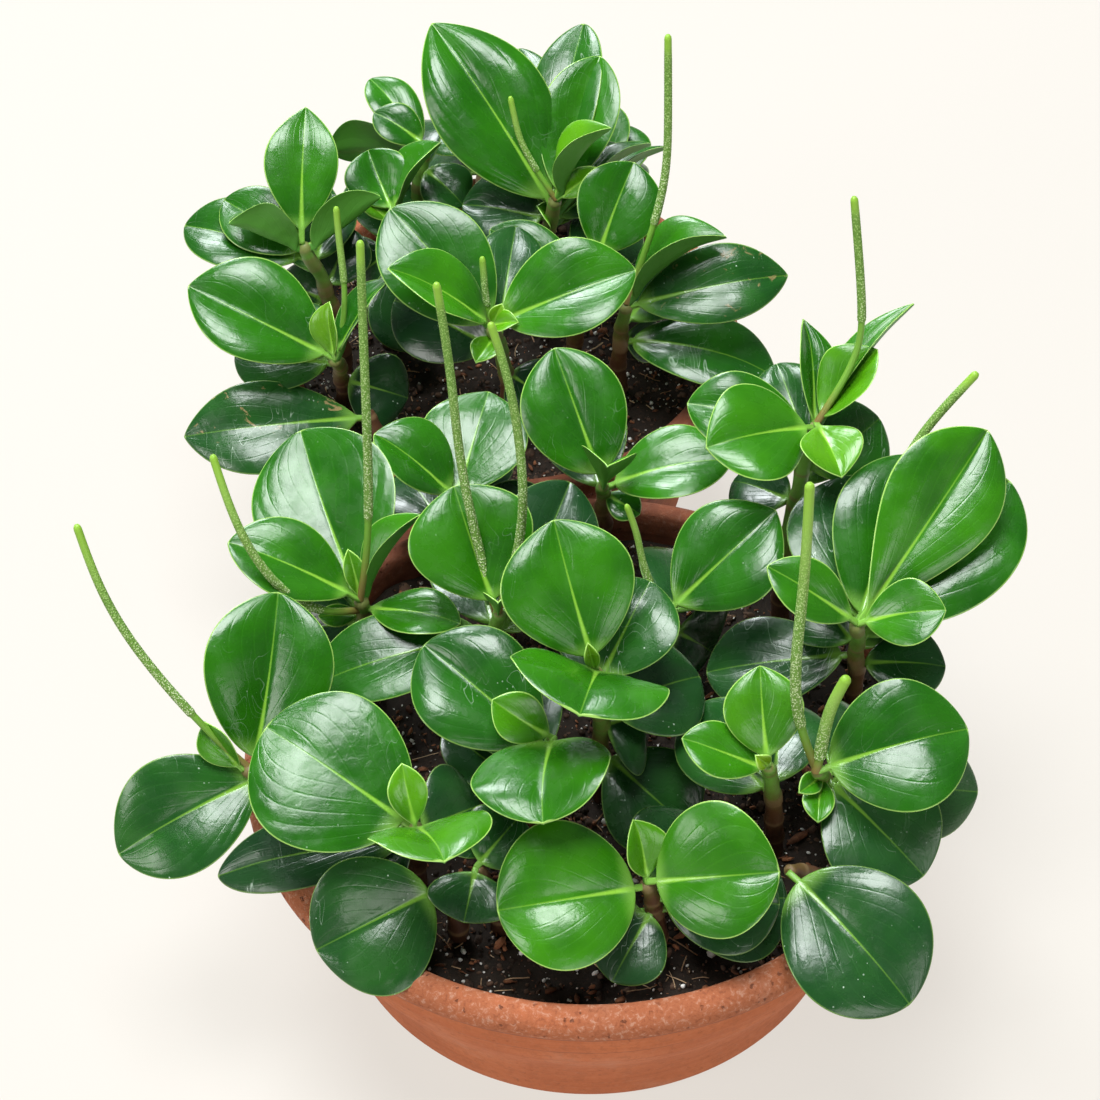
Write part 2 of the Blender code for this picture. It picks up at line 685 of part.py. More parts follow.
def makeCrown(name, shoot, material):
    """The green top of a shoot, grown into one body with its leaves and flower spikes."""
    rings = stemRings(shoot, crownStart(shoot), 1.0)
    top = makeObject("crown_" + name, *closedMesh(rings), material)
    grown = [leafRings(shoot, leaf) for leaf in shoot["leaves"]]
    grown += [spikeRings(spike) for spike in spikes if spikes[spike][0] == name]
    others = [makeObject("part", *closedMesh(rings), material) for rings in grown]
    return joined(top, others)


def makePlanting():
    """Both bowls with their soil, shoots and spikes, under one empty at the middle of the base."""
    materials = {
        "clay": makeMaterial("terracotta", (0.48, 0.17, 0.08), 0.8),
        "soil": makeMaterial("potting_soil", (0.03, 0.018, 0.012), 0.95),
        "leaf": makeMaterial("leaf_green", (0.05, 0.19, 0.03), 0.35),
        "stem": makeMaterial("stem_brown", (0.16, 0.08, 0.03), 0.5),
    }
    items = []
    for name, bowl in bowls.items():
        centre = bowl["centre"]
        items.append(turned(f"{name}_bowl", bowlOutline(bowl), centre, materials["clay"]))
        items.append(turned(f"{name}_soil", soilOutline(bowl), centre, materials["soil"]))
    for name, shoot in shoots.items():
        items.append(makeStem(name, shoot, materials["stem"]))
        items.append(makeCrown(name, shoot, materials["leaf"]))
    bpy.context.view_layer.update()
    spots = np.array([item.matrix_world @ corner.co for item in items
                      for corner in item.data.vertices])
    low, high = spots.min(axis=0), spots.max(axis=0)
    base = bpy.data.objects.new("planting_base", None)
    bpy.context.scene.collection.objects.link(base)
    for item in items:
        item.parent = base
    base.location = (-(low[0] + high[0]) / 2, -(low[1] + high[1]) / 2, -low[2])
    bpy.context.view_layer.update()


clearScene()
makePlanting()
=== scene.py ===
import math

import bpy
import numpy as np
from mathutils import Matrix, Vector


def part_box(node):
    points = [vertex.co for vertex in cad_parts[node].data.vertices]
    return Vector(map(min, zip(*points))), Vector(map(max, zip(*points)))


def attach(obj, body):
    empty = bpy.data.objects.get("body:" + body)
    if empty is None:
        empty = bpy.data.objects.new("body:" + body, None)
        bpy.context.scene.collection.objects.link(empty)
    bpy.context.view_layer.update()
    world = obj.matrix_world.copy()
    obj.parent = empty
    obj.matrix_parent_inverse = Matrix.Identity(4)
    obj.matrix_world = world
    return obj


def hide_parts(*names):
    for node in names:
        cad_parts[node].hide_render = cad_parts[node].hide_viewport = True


# A peperomia planting in two terracotta bowls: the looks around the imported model.
# Leaves are placed with a square view frame, 550 mm wide, that stands where the camera
# looks: each tip, shoot top and spike is given by its place in it (millimetres across and
# down) and by how far it comes forward. Lengths in the code are in metres; the tables of
# shoots, spikes, bowls and lumps, and the bowls' profile, are in millimetres.

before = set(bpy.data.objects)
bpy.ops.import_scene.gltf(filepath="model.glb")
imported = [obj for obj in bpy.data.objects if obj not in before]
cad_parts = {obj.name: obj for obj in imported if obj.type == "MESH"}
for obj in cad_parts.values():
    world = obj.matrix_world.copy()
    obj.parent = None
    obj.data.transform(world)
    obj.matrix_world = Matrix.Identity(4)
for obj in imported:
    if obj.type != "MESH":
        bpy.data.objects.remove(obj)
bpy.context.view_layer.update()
mm = 0.001

view = {
    "frame": 550 * mm,
    "distance": 1728 * mm,
    "eye": 1800 * mm,
    "elevation": math.radians(47.2),
    "roll": math.radians(-1.0),
    "target": (-17.4, 136.6, 111.0),  # from the front bowl's centre, in mm
}


def boxCentre(node):
    low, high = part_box(node)
    return np.array([(low[0] + high[0]) / 2, (low[1] + high[1]) / 2, 0.0])


frontCentre = boxCentre("front_bowl")
rearCentre = boxCentre("rear_bowl")
centres = {"front": frontCentre, "rear": rearCentre}

# One entry for each shoot: the bowl it grows in, where its root leaves the soil (from
# the bowl's centre), its top in the view frame, and how high the top is over the floor.
# Each leaf has: where it starts along the stem, its tip across and down the frame, how
# far the tip comes forward, its width, roll and fold in degrees, bend in percent, and
# age from 0 to 1.
shoots = {
    "rear_top": {
        "bowl": "rear", "root": (22, 20), "top": (278, 100), "height": 208,
        "leaves": [
            (0.90, 216, 11, 4, 66, -20, 12, 5, 0.45),
            (1.00, 304, 63, 24, 44, -80, 42, 4, 0.15),
            (0.97, 300, 28, -8, 44, 0, 16, 4, 0.40),
            (0.92, 291, 11, -20, 42, -25, 12, 4, 0.60),
            (0.85, 259, 23, -34, 40, 0, 8, 4, 0.70),
            (1.00, 299, 84, 6, 15, 0, 12, 4, 0.15),
            (0.72, 269, 103, 14, 22, 60, 30, 4, 0.20),
            (0.80, 231, 102, -6, 40, 20, 6, 4, 0.92),
            (0.80, 324, 70, -12, 26, -70, 30, 4, 0.50),
            (0.70, 333, 72, -24, 24, -70, 30, 4, 0.55),
            (0.75, 316, 75, -40, 36, 0, 6, 4, 0.75),
            (0.75, 250, 60, -50, 48, 0, 6, 6, 0.85),
            (0.65, 292, 62, -50, 44, 0, 6, 6, 0.85),
        ],
    },
    "rear_ridge": {
        "bowl": "rear", "root": (38, -28), "top": (298, 131), "height": 194,
        "leaves": [
            (1.00, 317, 81, 2, 47, 5, 10, 4, 0.45),
            (0.80, 245, 114, -4, 28, 30, 15, 4, 0.55),
            (0.70, 306, 105, -45, 42, 0, 6, 6, 0.85),
        ],
    },
    "rear_right": {
        "bowl": "rear", "root": (62, -42), "top": (313, 152), "height": 182,
        "leaves": [
            (1.00, 362, 117, 18, 52, -72, 40, 6, 0.35),
            (0.95, 394, 137, 4, 44, -8, 6, 8, 0.75),
            (0.55, 388, 187, 12, 46, -35, 5, 8, 0.65),
            (0.60, 330, 172, -16, 24, 0, 5, 4, 0.92),
            (0.70, 346, 130, -40, 44, -15, 6, 6, 0.85),
        ],
    },
    "rear_heart": {
        "bowl": "rear", "root": (4, -66), "top": (246, 163), "height": 194,
        "leaves": [
            (0.92, 195, 104, -4, 58, 5, 5, 5, 0.55),
            (0.95, 194, 134, 24, 48, 48, 26, 6, 0.30),
            (1.00, 318, 135, 8, 54, -20, 12, 7, 0.40),
            (1.00, 251, 152, 8, 10, 0, 20, 4, 0.10),
            (1.00, 259, 161, 12, 16, -30, 34, 4, 0.15),
            (0.88, 238, 181, 14, 18, 20, 25, 4, 0.20),
            (0.70, 197, 150, -22, 48, 0, 6, 5, 0.95),
            (0.80, 258, 112, -30, 38, 0, 6, 4, 0.85),
            (0.50, 272, 200, -2, 38, -20, 6, 4, 0.95),
        ],
    },
    "rear_peak": {
        "bowl": "rear", "root": (-50, 42), "top": (213, 73), "height": 212,
        "leaves": [
            (1.00, 187, 56, 0, 24, 20, 10, 4, 0.55),
            (0.92, 165, 74, -16, 42, 125, 10, 4, 0.50),
            (0.97, 185, 39, -12, 27, 20, 10, 4, 0.50),
            (0.85, 232, 103, 4, 32, -20, 8, 4, 0.80),
            (0.75, 200, 62, -45, 42, 0, 6, 6, 0.85),
        ],
    },
    "rear_fold": {
        "bowl": "rear", "root": (-62, 6), "top": (197, 107), "height": 198,
        "leaves": [
            (1.00, 184, 75, -6, 38, -10, 20, -4, 0.50),
            (1.00, 220, 71, 8, 36, -68, 32, 4, 0.40),
            (0.92, 178, 98, 6, 13, 20, 20, 4, 0.15),
            (0.70, 180, 138, -10, 40, 15, 6, 4, 0.92),
            (0.65, 206, 176, 0, 42, -10, 6, 5, 0.93),
            (0.70, 186, 88, -45, 40, 10, 6, 6, 0.85),
        ],
    },
    "rear_left": {
        "bowl": "rear", "root": (-88, -16), "top": (151, 122), "height": 200,
        "leaves": [
            (1.00, 153, 53, -2, 40, 0, 6, 4, 0.40),
            (0.96, 190, 98, 16, 44, -105, 40, -5, 0.35),
            (0.96, 115, 110, 18, 46, 105, 38, -5, 0.35),
            (0.90, 112, 100, -12, 38, 15, 8, 4, 0.55),
            (0.85, 92, 112, -14, 44, 25, 8, 5, 0.60),
            (0.80, 166, 96, -30, 32, 0, 5, 4, 0.92),
            (0.65, 146, 88, -45, 44, 0, 6, 6, 0.85),
            (0.60, 176, 114, -4, 34, 0, 5, 5, 0.93),
            (0.50, 138, 141, -18, 30, 10, 5, 5, 0.95),
        ],
    },
    "rear_side": {
        "bowl": "rear", "root": (-86, -52), "top": (168, 180), "height": 172,
        "leaves": [
            (0.98, 94, 143, 6, 58, 18, 12, 6, 0.45),
            (1.00, 164, 151, 10, 24, -45, 32, 4, 0.10),
            (1.00, 193, 139, 0, 28, -60, 26, 4, 0.50),
            (0.80, 117, 178, -14, 38, 20, 6, 4, 0.78),
            (0.45, 204, 199, -4, 42, 0, 5, 4, 0.95),
            (0.70, 138, 160, -40, 44, 10, 6, 6, 0.85),
        ],
    },
    "rear_low": {
        "bowl": "rear", "root": (-62, -88), "top": (183, 206), "height": 136,
        "leaves": [
            (0.90, 92, 218, 14, 52, 12, 6, 9, 0.80),
        ],
    },
    "rear_back": {
        "bowl": "rear", "root": (-12, 80), "top": (243, 72), "height": 168,
        "leaves": [
            (1.00, 235, 44, -24, 46, 0, 8, 5, 0.50),
            (0.92, 264, 55, -22, 44, -15, 8, 5, 0.60),
            (0.92, 220, 60, -18, 42, 15, 8, 5, 0.60),
            (0.80, 246, 34, -44, 48, 0, 6, 6, 0.75),
            (0.70, 224, 70, -52, 48, 10, 6, 6, 0.85),
            (0.65, 262, 66, -52, 48, -10, 6, 6, 0.85),
        ],
    },
    "rear_corner": {
        "bowl": "rear", "root": (58, 52), "top": (303, 92), "height": 168,
        "leaves": [
            (1.00, 292, 52, -26, 42, 0, 8, 5, 0.50),
            (0.92, 312, 62, -22, 38, -10, 8, 5, 0.60),
            (0.85, 320, 92, -40, 40, -20, 6, 6, 0.80),
            (0.75, 284, 76, -40, 44, 10, 6, 6, 0.80),
            (0.65, 304, 78, -52, 46, 0, 6, 6, 0.90),
        ],
    },
    "bridge": {
        "bowl": "front", "root": (10, 140), "top": (302, 243), "height": 176,
        "leaves": [
            (1.00, 277, 174, 0, 54, 5, 5, 4, 0.45),
            (1.00, 304, 232, 30, 36, 180, 36, 4, 0.25),
            (0.90, 366, 230, 10, 46, -35, 10, 8, 0.40),
            (0.80, 320, 257, 4, 18, -20, 6, 4, 0.45),
            (0.75, 290, 206, -45, 46, 0, 6, 6, 0.85),
        ],
    },
    "north_west": {
        "bowl": "front", "root": (-74, 118), "top": (228, 250), "height": 172,
        "leaves": [
            (0.95, 244, 195, -18, 56, -14, 8, 5, 0.50),
            (1.00, 187, 217, 8, 48, 42, 20, 6, 0.45),
            (0.70, 276, 252, -16, 34, 0, 6, 4, 0.95),
            (0.75, 238, 216, -45, 48, 0, 6, 6, 0.85),
            (0.60, 200, 236, -40, 44, 15, 6, 6, 0.90),
        ],
    },
    "west_high": {
        "bowl": "front", "root": (-108, 52), "top": (180, 300), "height": 180,
        "leaves": [
            (0.95, 150, 215, -28, 74, 0, 10, 5, 0.50),
            (1.00, 114, 271, 14, 46, 30, 16, 7, 0.40),
            (1.00, 174, 275, 12, 12, 0, 20, 4, 0.15),
            (0.95, 210, 257, 10, 32, -68, 40, 5, 0.30),
            (0.85, 230, 311, 18, 32, -42, 8, 5, 0.40),
            (0.70, 147, 315, -16, 40, 15, 6, 4, 0.90),
            (0.80, 159, 308, 2, 12, 0, 10, 4, 0.30),
            (0.70, 150, 256, -50, 56, 0, 6, 6, 0.85),
        ],
    },
    "north": {
        "bowl": "front", "root": (-46, 34), "top": (249, 306), "height": 194,
        "leaves": [
            (1.00, 227, 243, 4, 62, 0, 4, 4, 0.40),
            (1.00, 249, 301, 18, 20, 180, 36, 4, 0.20),
            (0.60, 285, 241, -40, 54, 0, 5, 4, 0.95),
            (0.70, 155, 343, 0, 46, 25, 6, 6, 0.60),
            (0.70, 238, 270, -50, 50, 0, 6, 6, 0.85),
        ],
    },
    "centre": {
        "bowl": "front", "root": (6, -22), "top": (298, 335), "height": 214,
        "leaves": [
            (1.00, 277, 260, 6, 64, 4, 4, 4, 0.40),
            (1.00, 294, 322, 14, 9, 0, 30, 4, 0.05),
            (0.97, 291, 353, 54, 76, 8, 8, 6, 0.40),
            (0.85, 325, 290, -8, 50, -10, 8, 5, 0.72),
            (0.30, 345, 415, 2, 56, -10, 6, 6, 0.85),
            (0.50, 322, 358, -6, 56, 0, 5, 4, 0.92),
            (0.60, 350, 338, -20, 50, -10, 6, 5, 0.90),
            (0.70, 300, 290, -45, 52, 0, 6, 6, 0.85),
        ],
    },
    "middle": {
        "bowl": "front", "root": (-30, -60), "top": (277, 369), "height": 186,
        "leaves": [
            (1.00, 271, 410, 46, 68, 20, 8, 6, 0.40),
            (1.00, 246, 350, 12, 25, 0, 12, 4, 0.25),
            (0.90, 212, 322, -8, 60, 0, 8, 5, 0.65),
            (0.70, 250, 340, -45, 50, 0, 6, 6, 0.85),
            (0.45, 222, 366, -8, 34, 30, 6, 5, 0.92),
        ],
    },
    "west": {
        "bowl": "front", "root": (-124, -34), "top": (122, 385), "height": 156,
        "leaves": [
            (0.95, 139, 296, 0, 64, 0, 12, 5, 0.45),
            (1.00, 102, 361, 8, 22, -35, 28, 4, 0.25),
            (0.85, 59, 427, 6, 58, 5, 6, 7, 0.75),
            (0.75, 134, 340, -45, 50, 0, 6, 6, 0.85),
        ],
    },
    "bowl_left": {
        "bowl": "front", "root": (-84, -72), "top": (208, 415), "height": 178,
        "leaves": [
            (0.95, 133, 363, -18, 78, 0, 3, 8, 0.50),
            (1.00, 201, 382, 10, 19, 0, 8, 4, 0.15),
            (0.98, 222, 429, 44, 60, -36, 12, 6, 0.25),
            (0.70, 241, 402, -24, 48, 0, 6, 4, 0.92),
            (0.60, 180, 430, -10, 36, 0, 6, 4, 0.92),
            (0.55, 108, 437, -8, 36, 20, 6, 5, 0.95),
            (0.65, 170, 386, -40, 54, 0, 6, 6, 0.85),
        ],
    },
    "lip_left": {
        "bowl": "front", "root": (-64, -104), "top": (221, 443), "height": 138,
        "leaves": [
            (1.00, 158, 475, 8, 68, 8, 6, 7, 0.80),
        ],
    },
    "soil_left": {
        "bowl": "front", "root": (-44, -100), "top": (238, 434), "height": 142,
        "leaves": [
            (1.00, 260, 408, -2, 38, 0, 5, 4, 0.80),
            (1.00, 232, 461, 10, 42, 0, 5, 5, 0.85),
        ],
    },
    "lip_mid": {
        "bowl": "front", "root": (30, -112), "top": (323, 441), "height": 152,
        "leaves": [
            (1.00, 389, 436, 26, 64, -12, 5, 7, 0.30),
            (1.00, 317, 410, 12, 27, 30, 26, 4, 0.20),
            (0.92, 249, 455, 14, 70, 4, 4, 9, 0.30),
            (0.50, 256, 467, 0, 36, 25, 5, 4, 0.95),
            (0.55, 306, 491, 8, 38, 0, 5, 4, 0.95),
            (0.70, 390, 452, 0, 54, -8, 5, 6, 0.90),
            (0.50, 394, 449, -10, 60, -8, 5, 6, 0.95),
            (0.70, 345, 405, -35, 48, 0, 6, 6, 0.85),
        ],
    },
    "lip_right": {
        "bowl": "front", "root": (112, -86), "top": (394, 436), "height": 142,
        "leaves": [
            (1.00, 455, 502, 22, 70, 4, 6, 7, 0.85),
        ],
    },
    "heart_right": {
        "bowl": "front", "root": (88, -58), "top": (384, 383), "height": 184,
        "leaves": [
            (1.00, 380, 333, 4, 38, 0, 5, 4, 0.25),
            (0.92, 341, 369, 10, 29, 25, 12, 5, 0.35),
            (1.00, 378, 378, 10, 10, 0, 30, 4, 0.05),
            (0.55, 344, 355, -26, 46, 0, 6, 4, 0.80),
            (0.60, 390, 350, -45, 46, 0, 6, 6, 0.85),
        ],
    },
    "east": {
        "bowl": "front", "root": (116, -44), "top": (408, 386), "height": 176,
        "leaves": [
            (1.00, 484, 364, 4, 64, -6, 6, 9, 0.55),
            (0.75, 462, 438, 12, 60, 0, 6, 7, 0.85),
            (0.80, 400, 396, 14, 12, 0, 20, 4, 0.30),
            (0.78, 409, 411, 16, 16, 0, 12, 4, 0.30),
            (0.65, 490, 396, -18, 50, 0, 6, 6, 0.90),
            (0.70, 440, 366, -45, 52, 0, 6, 6, 0.85),
        ],
    },
    "north_east": {
        "bowl": "front", "root": (44, 56), "top": (333, 307), "height": 176,
        "leaves": [
            (1.00, 388, 255, 4, 56, -14, 8, 6, 0.55),
            (0.55, 356, 326, -14, 50, 0, 6, 4, 0.90),
            (0.75, 346, 276, -50, 50, 0, 6, 6, 0.85),
        ],
    },
    "east_high": {
        "bowl": "front", "root": (132, 24), "top": (429, 312), "height": 192,
        "leaves": [
            (1.00, 494, 215, -8, 58, 0, 10, 6, 0.35),
            (0.92, 505, 240, -26, 70, -8, 6, 5, 0.55),
            (0.95, 457, 227, -16, 54, 14, 8, 4, 0.55),
            (0.90, 426, 237, -34, 66, 0, 6, 4, 0.80),
            (1.00, 384, 283, 14, 30, 20, 8, 6, 0.35),
            (1.00, 473, 305, 18, 34, -15, 6, 6, 0.35),
            (0.50, 473, 333, 0, 36, -20, 6, 5, 0.85),
            (0.60, 353, 336, -16, 50, 25, 6, 5, 0.90),
            (0.70, 408, 297, -14, 42, 0, 5, 4, 0.75),
            (0.70, 468, 272, -55, 56, -10, 6, 6, 0.85),
            (0.55, 440, 282, -50, 50, 10, 6, 6, 0.85),
        ],
    },
    "far_east": {
        "bowl": "front", "root": (100, 92), "top": (408, 212), "height": 234,
        "leaves": [
            (0.95, 344, 201, 4, 42, 20, 8, 5, 0.45),
            (0.98, 354, 223, 28, 54, 20, 10, 6, 0.30),
            (1.00, 421, 238, 24, 34, -20, 20, 6, 0.15),
            (1.00, 438, 174, 6, 40, -40, 26, -4, 0.20),
            (0.95, 403, 159, -8, 28, 40, 26, 4, 0.45),
            (0.95, 456, 151, -2, 26, -60, 30, 4, 0.35),
            (0.75, 440, 209, -16, 44, 0, 8, 5, 0.60),
            (0.85, 388, 181, -22, 36, 0, 6, 4, 0.75),
            (0.60, 366, 240, -24, 32, 20, 6, 4, 0.85),
            (0.65, 424, 200, -45, 40, 0, 6, 6, 0.85),
        ],
    },
}

# Each spike has: its shoot, where it starts along the stem, and the points that it passes
# (across and down the frame, and forward)
spikes = {
    "spike_far_left": ("west", 0.95, [(100, 362, 14), (57, 311, 40), (38, 262, 62)]),
    "spike_left": ("west_high", 0.85, [(160, 306, 20), (138, 293, 36), (119, 265, 52), (106, 227, 64)]),
    "spike_tall": ("west_high", 1.00, [(185, 262, 26), (182, 180, 76), (180, 120, 110)]),
    "spike_mid_left": ("north", 0.90, [(231, 240, 30), (226, 190, 60), (218, 141, 90)]),
    "spike_mid": ("north", 1.00, [(263, 262, 30), (257, 200, 66), (245, 161, 88)]),
    "spike_heart": ("rear_heart", 1.00, [(243, 150, 8), (242, 139, 14), (241, 128, 20)]),
    "spike_top_right": ("rear_right", 1.00, [(332, 98, 24), (334, 60, 46), (334, 17, 72)]),
    "spike_far_east": ("far_east", 1.00, [(429, 178, 12), (431, 150, 26), (427, 98, 56)]),
    "spike_east": ("east_high", 0.90, [(440, 262, -36), (456, 222, -44), (489, 186, -30)]),
    "spike_right": ("east", 0.95, [(396, 350, 34), (402, 296, 62), (405, 241, 90)]),
    "spike_bud": ("east", 1.00, [(411, 372, 8), (415, 354, 20), (424, 338, 30)]),
    "spike_young": ("north_east", 0.95, [(322, 285, 12), (319, 268, 22), (313, 252, 32)]),
    "spike_top": ("rear_top", 1.00, [(262, 75, 14), (258, 62, 22), (255, 48, 30)]),
    "spike_rear_left": ("rear_side", 0.90, [(173, 150, 10), (170, 125, 22), (168, 103, 34)]),
}

plant = {
    "soilLevel": 105.3 * mm,
    "bowlSteps": 168,
    "soilGrid": (46, 150),  # rings, steps around
    "drain": 12,            # the drain hole's radius and the floor's thickness, in mm
    "floor": 11,
}

bowls = {
    "front": {"rim": 170, "foot": 126},
    "rear": {"rim": 130, "foot": 97},
}

leafShape = {
    "fineFrom": 54,          # leaves this wide (mm) get the fine grid
    "fineGrid": (52, 60),    # rings, steps around
    "plainGrid": (34, 38),
    "stalk": 7 * mm,         # the longest stalk, and its radius at the most
    "stalkRadius": 1.7 * mm,
    "thickness": 1.2 * mm,
    "rib": 0.9 * mm,         # how far the midrib stands out below, and its width
    "ribWidth": 1.6 * mm,
    "groove": 0.35 * mm,     # how deep it lies above, and that groove's width
    "grooveWidth": 0.9 * mm,
    "pucker": 0.7 * mm,
}

# Side veins run where |x| + sweep (1 - s)^power passes another gap: x goes from -1 to 1
# across the leaf, and s from 0 at the stalk to 1 at the tip
veinShape = {"sweep": 0.8, "power": 1.5, "gap": 0.2}

spikeShape = {
    "around": 24,
    "rowGap": 0.5 * mm,
    "pebble": 1.5 * mm,  # how far apart the pebbles are, and how far they stand out
    "bump": 0.17 * mm,
    "tip": 3 * mm,       # length of the rounded tip
}

# Spikes that differ from the usual: share of bare stalk, radius in mm, and the share of
# the length where the pebbles begin to fade
spikeLooks = {
    "spike_far_left": {"stalk": 0.27, "ripe": 0.7},
    "spike_tall": {"stalk": 0.24, "ripe": 0.9},
    "spike_mid_left": {"stalk": 0.12, "ripe": 0.9},
    "spike_mid": {"stalk": 0.12, "ripe": 0.85},
    "spike_heart": {"stalk": 0.3, "radius": 1.9},
    "spike_top_right": {"stalk": 0.3, "ripe": 0.9},
    "spike_far_east": {"stalk": 0.46, "ripe": 0.9},
    "spike_east": {"stalk": 0.3, "radius": 2.5, "ripe": 0.9},
    "spike_right": {"stalk": 0.2, "radius": 2.7, "ripe": 0.55},
    "spike_bud": {"stalk": 0.14, "radius": 3.1, "ripe": 0.15},
    "spike_young": {"stalk": 0.3, "radius": 1.8, "ripe": 0.2},
    "spike_top": {"stalk": 0.3, "radius": 1.8, "ripe": 0.3},
    "spike_rear_left": {"stalk": 0.5, "radius": 2.0, "ripe": 0.3},
}

stemShape = {
    "rows": 40,
    "around": 16,
    "foot": 4.9 * mm,     # radius at the soil and at the top
    "top": 3.1 * mm,
    "knot": 2.4 * mm,     # length of the swelling at a node, and how much it adds
    "swelling": 0.16,
    "waver": 0.16 * mm,
    "zigzag": 0.7 * mm,   # how far the stem swings, and how often
    "zigzagEvery": 16 * mm,
}

# Lumps on the soil: how many on the front bowl, the middling size and how much it varies,
# the largest size, the sides' proportions, how high they sit as a share of the size, and
# how far they tilt (radians)
ground = {
    "crumbs": {"count": 3400, "size": 1.2, "spread": 0.45, "most": 3.2, "shape": (1, 0.85, 0.7),
               "sit": 0.1, "tilt": 0.8},
    "bark": {"count": 2200, "size": 0.62, "spread": 0.65, "most": 5, "shape": (1.5, 0.7, 0.5),
             "sit": 0.7, "tilt": 0.6},
    "perlite": {"count": 1900, "size": 0.46, "spread": 0.55, "most": 2.2, "shape": (1, 0.9, 0.8),
                "sit": 1.0, "tilt": 0.6},
}
strawCount = 260  # on the front bowl

# Leaves that differ from the rest, by shoot and place in its list. The outline's width is
# s^base (1 - s^full)^point; face is the way the leaf's upper side looks; forward replaces
# the tip's; fold is in degrees; lop makes one half wider; pucker is the quilting's depth;
# bend, puff, curl, wave and nod are shares of the leaf's length or half width.
leafLooks = {
    ("rear_top", 0): {"base": 0.70, "full": 1.6, "point": 0.85, "pucker": 1.6, "curl": 0.2,
                      "face": (0.1, -0.62, 0.78)},
    ("rear_top", 2): {"pucker": 1.8, "face": (0, -0.38, 0.92), "bend": 0.01},
    ("rear_side", 0): {"base": 0.7, "full": 2.0, "point": 0.8, "lop": 0.12, "curl": 0.1},
    ("rear_heart", 0): {"base": 0.6, "full": 2.0, "point": 0.7, "face": (0.12, -0.66, 0.74),
                        "bend": 0.02, "pucker": 0.3, "puff": 0.02},
    ("rear_left", 0): {"base": 0.85, "full": 1.7, "point": 0.95},
    ("rear_low", 0): {"base": 0.8, "full": 1.8, "point": 0.8, "face": (0, -0.5, 0.86), "spots": 0.6},
    ("rear_fold", 0): {"face": (-0.1, -0.4, 0.9)},
    ("rear_right", 1): {"base": 0.7, "full": 1.9, "point": 0.8, "face": (0.1, -0.5, 0.85), "spots": 0.4},
    ("bridge", 0): {"base": 0.55, "full": 2.0, "point": 0.72, "face": (-0.05, -0.52, 0.85)},
    ("north_west", 0): {"base": 0.6, "full": 2.0, "point": 0.75, "face": (-0.14, -0.42, 0.9),
                        "bend": 0.03, "fold": 4, "puff": 0.02},
    ("west_high", 0): {"base": 0.6, "full": 2.2, "point": 0.7, "face": (-0.2, -0.38, 0.9),
                       "pucker": 0.9, "bend": 0.01, "fold": 9, "puff": 0.02, "curl": 0.02},
    ("west", 2): {"base": 0.6, "full": 1.9, "point": 0.65},
    ("north_east", 0): {"base": 0.7, "full": 2.0, "point": 0.85},
    ("east_high", 0): {"base": 0.95, "full": 2.6, "point": 0.8, "face": (0.1, -0.72, 0.69),
                       "bend": 0.03},
    ("middle", 2): {"base": 0.6, "face": (-0.1, -0.36, 0.93), "bend": 0.03},
    ("east_high", 2): {"face": (-0.04, -0.36, 0.93), "bend": 0.02},
    ("middle", 0): {"base": 0.34, "full": 2.2, "point": 0.52, "wave": 0.05},
    ("centre", 2): {"base": 0.34, "full": 2.6, "point": 0.42, "wave": 0.06, "nod": 0.08},
    ("bowl_left", 2): {"base": 0.36, "full": 2.2, "point": 0.52},
    ("bowl_left", 0): {"base": 0.5, "full": 2.0, "point": 0.56, "face": (-0.06, -0.36, 0.93),
                       "pucker": 0.8, "bend": 0.05, "forward": -7, "fold": 1, "puff": 0.02,
                       "curl": 0.02},
    ("lip_left", 0): {"base": 0.5, "full": 2.0, "point": 0.6, "face": (0.12, -0.64, 0.76)},
    ("lip_mid", 0): {"base": 0.5, "full": 2.0, "point": 0.6, "lop": -0.1, "face": (-0.25, -0.62, 0.74)},
    ("lip_mid", 2): {"base": 0.5, "full": 1.9, "point": 0.56, "lop": 0.06},
    ("lip_right", 0): {"base": 0.5, "full": 2.0, "point": 0.6, "face": (0.1, -0.62, 0.78)},
    ("east", 0): {"base": 0.55, "full": 2.0, "point": 0.66, "face": (0, -0.5, 0.86)},
    ("east", 1): {"base": 0.55, "full": 2.1, "point": 0.64, "face": (0, -0.52, 0.85)},
    ("far_east", 4): {"base": 0.9, "full": 1.3, "point": 1.0},
    ("far_east", 5): {"base": 0.9, "full": 1.3, "point": 1.0},
}


def unit(vector):
    return vector / np.linalg.norm(vector)


def unitRows(vectors):
    return vectors / np.linalg.norm(vectors, axis=-1, keepdims=True)


def viewAxes():
    forward = np.array([0.0, math.cos(view["elevation"]), -math.sin(view["elevation"])])
    level = np.array([1.0, 0.0, 0.0])
    upright = np.array([0.0, math.sin(view["elevation"]), math.cos(view["elevation"])])
    right = level * math.cos(view["roll"]) + upright * math.sin(view["roll"])
    up = upright * math.cos(view["roll"]) - level * math.sin(view["roll"])
    target = frontCentre + np.array(view["target"]) * mm
    return target - forward * view["eye"], forward, right, up


eye, forward, right, up = viewAxes()


def sightLine(across, down):
    sideways = (across * mm - view["frame"] / 2) / view["distance"]
    upwards = (view["frame"] / 2 - down * mm) / view["distance"]
    return forward + right * sideways + up * upwards


def pointAtHeight(across, down, height):
    line = sightLine(across, down)
    return eye + line * (height - eye[2]) / line[2]


def pointForward(across, down, origin, toward):
    depth = (origin - eye) @ forward - toward * mm
    return eye + sightLine(across, down) * depth


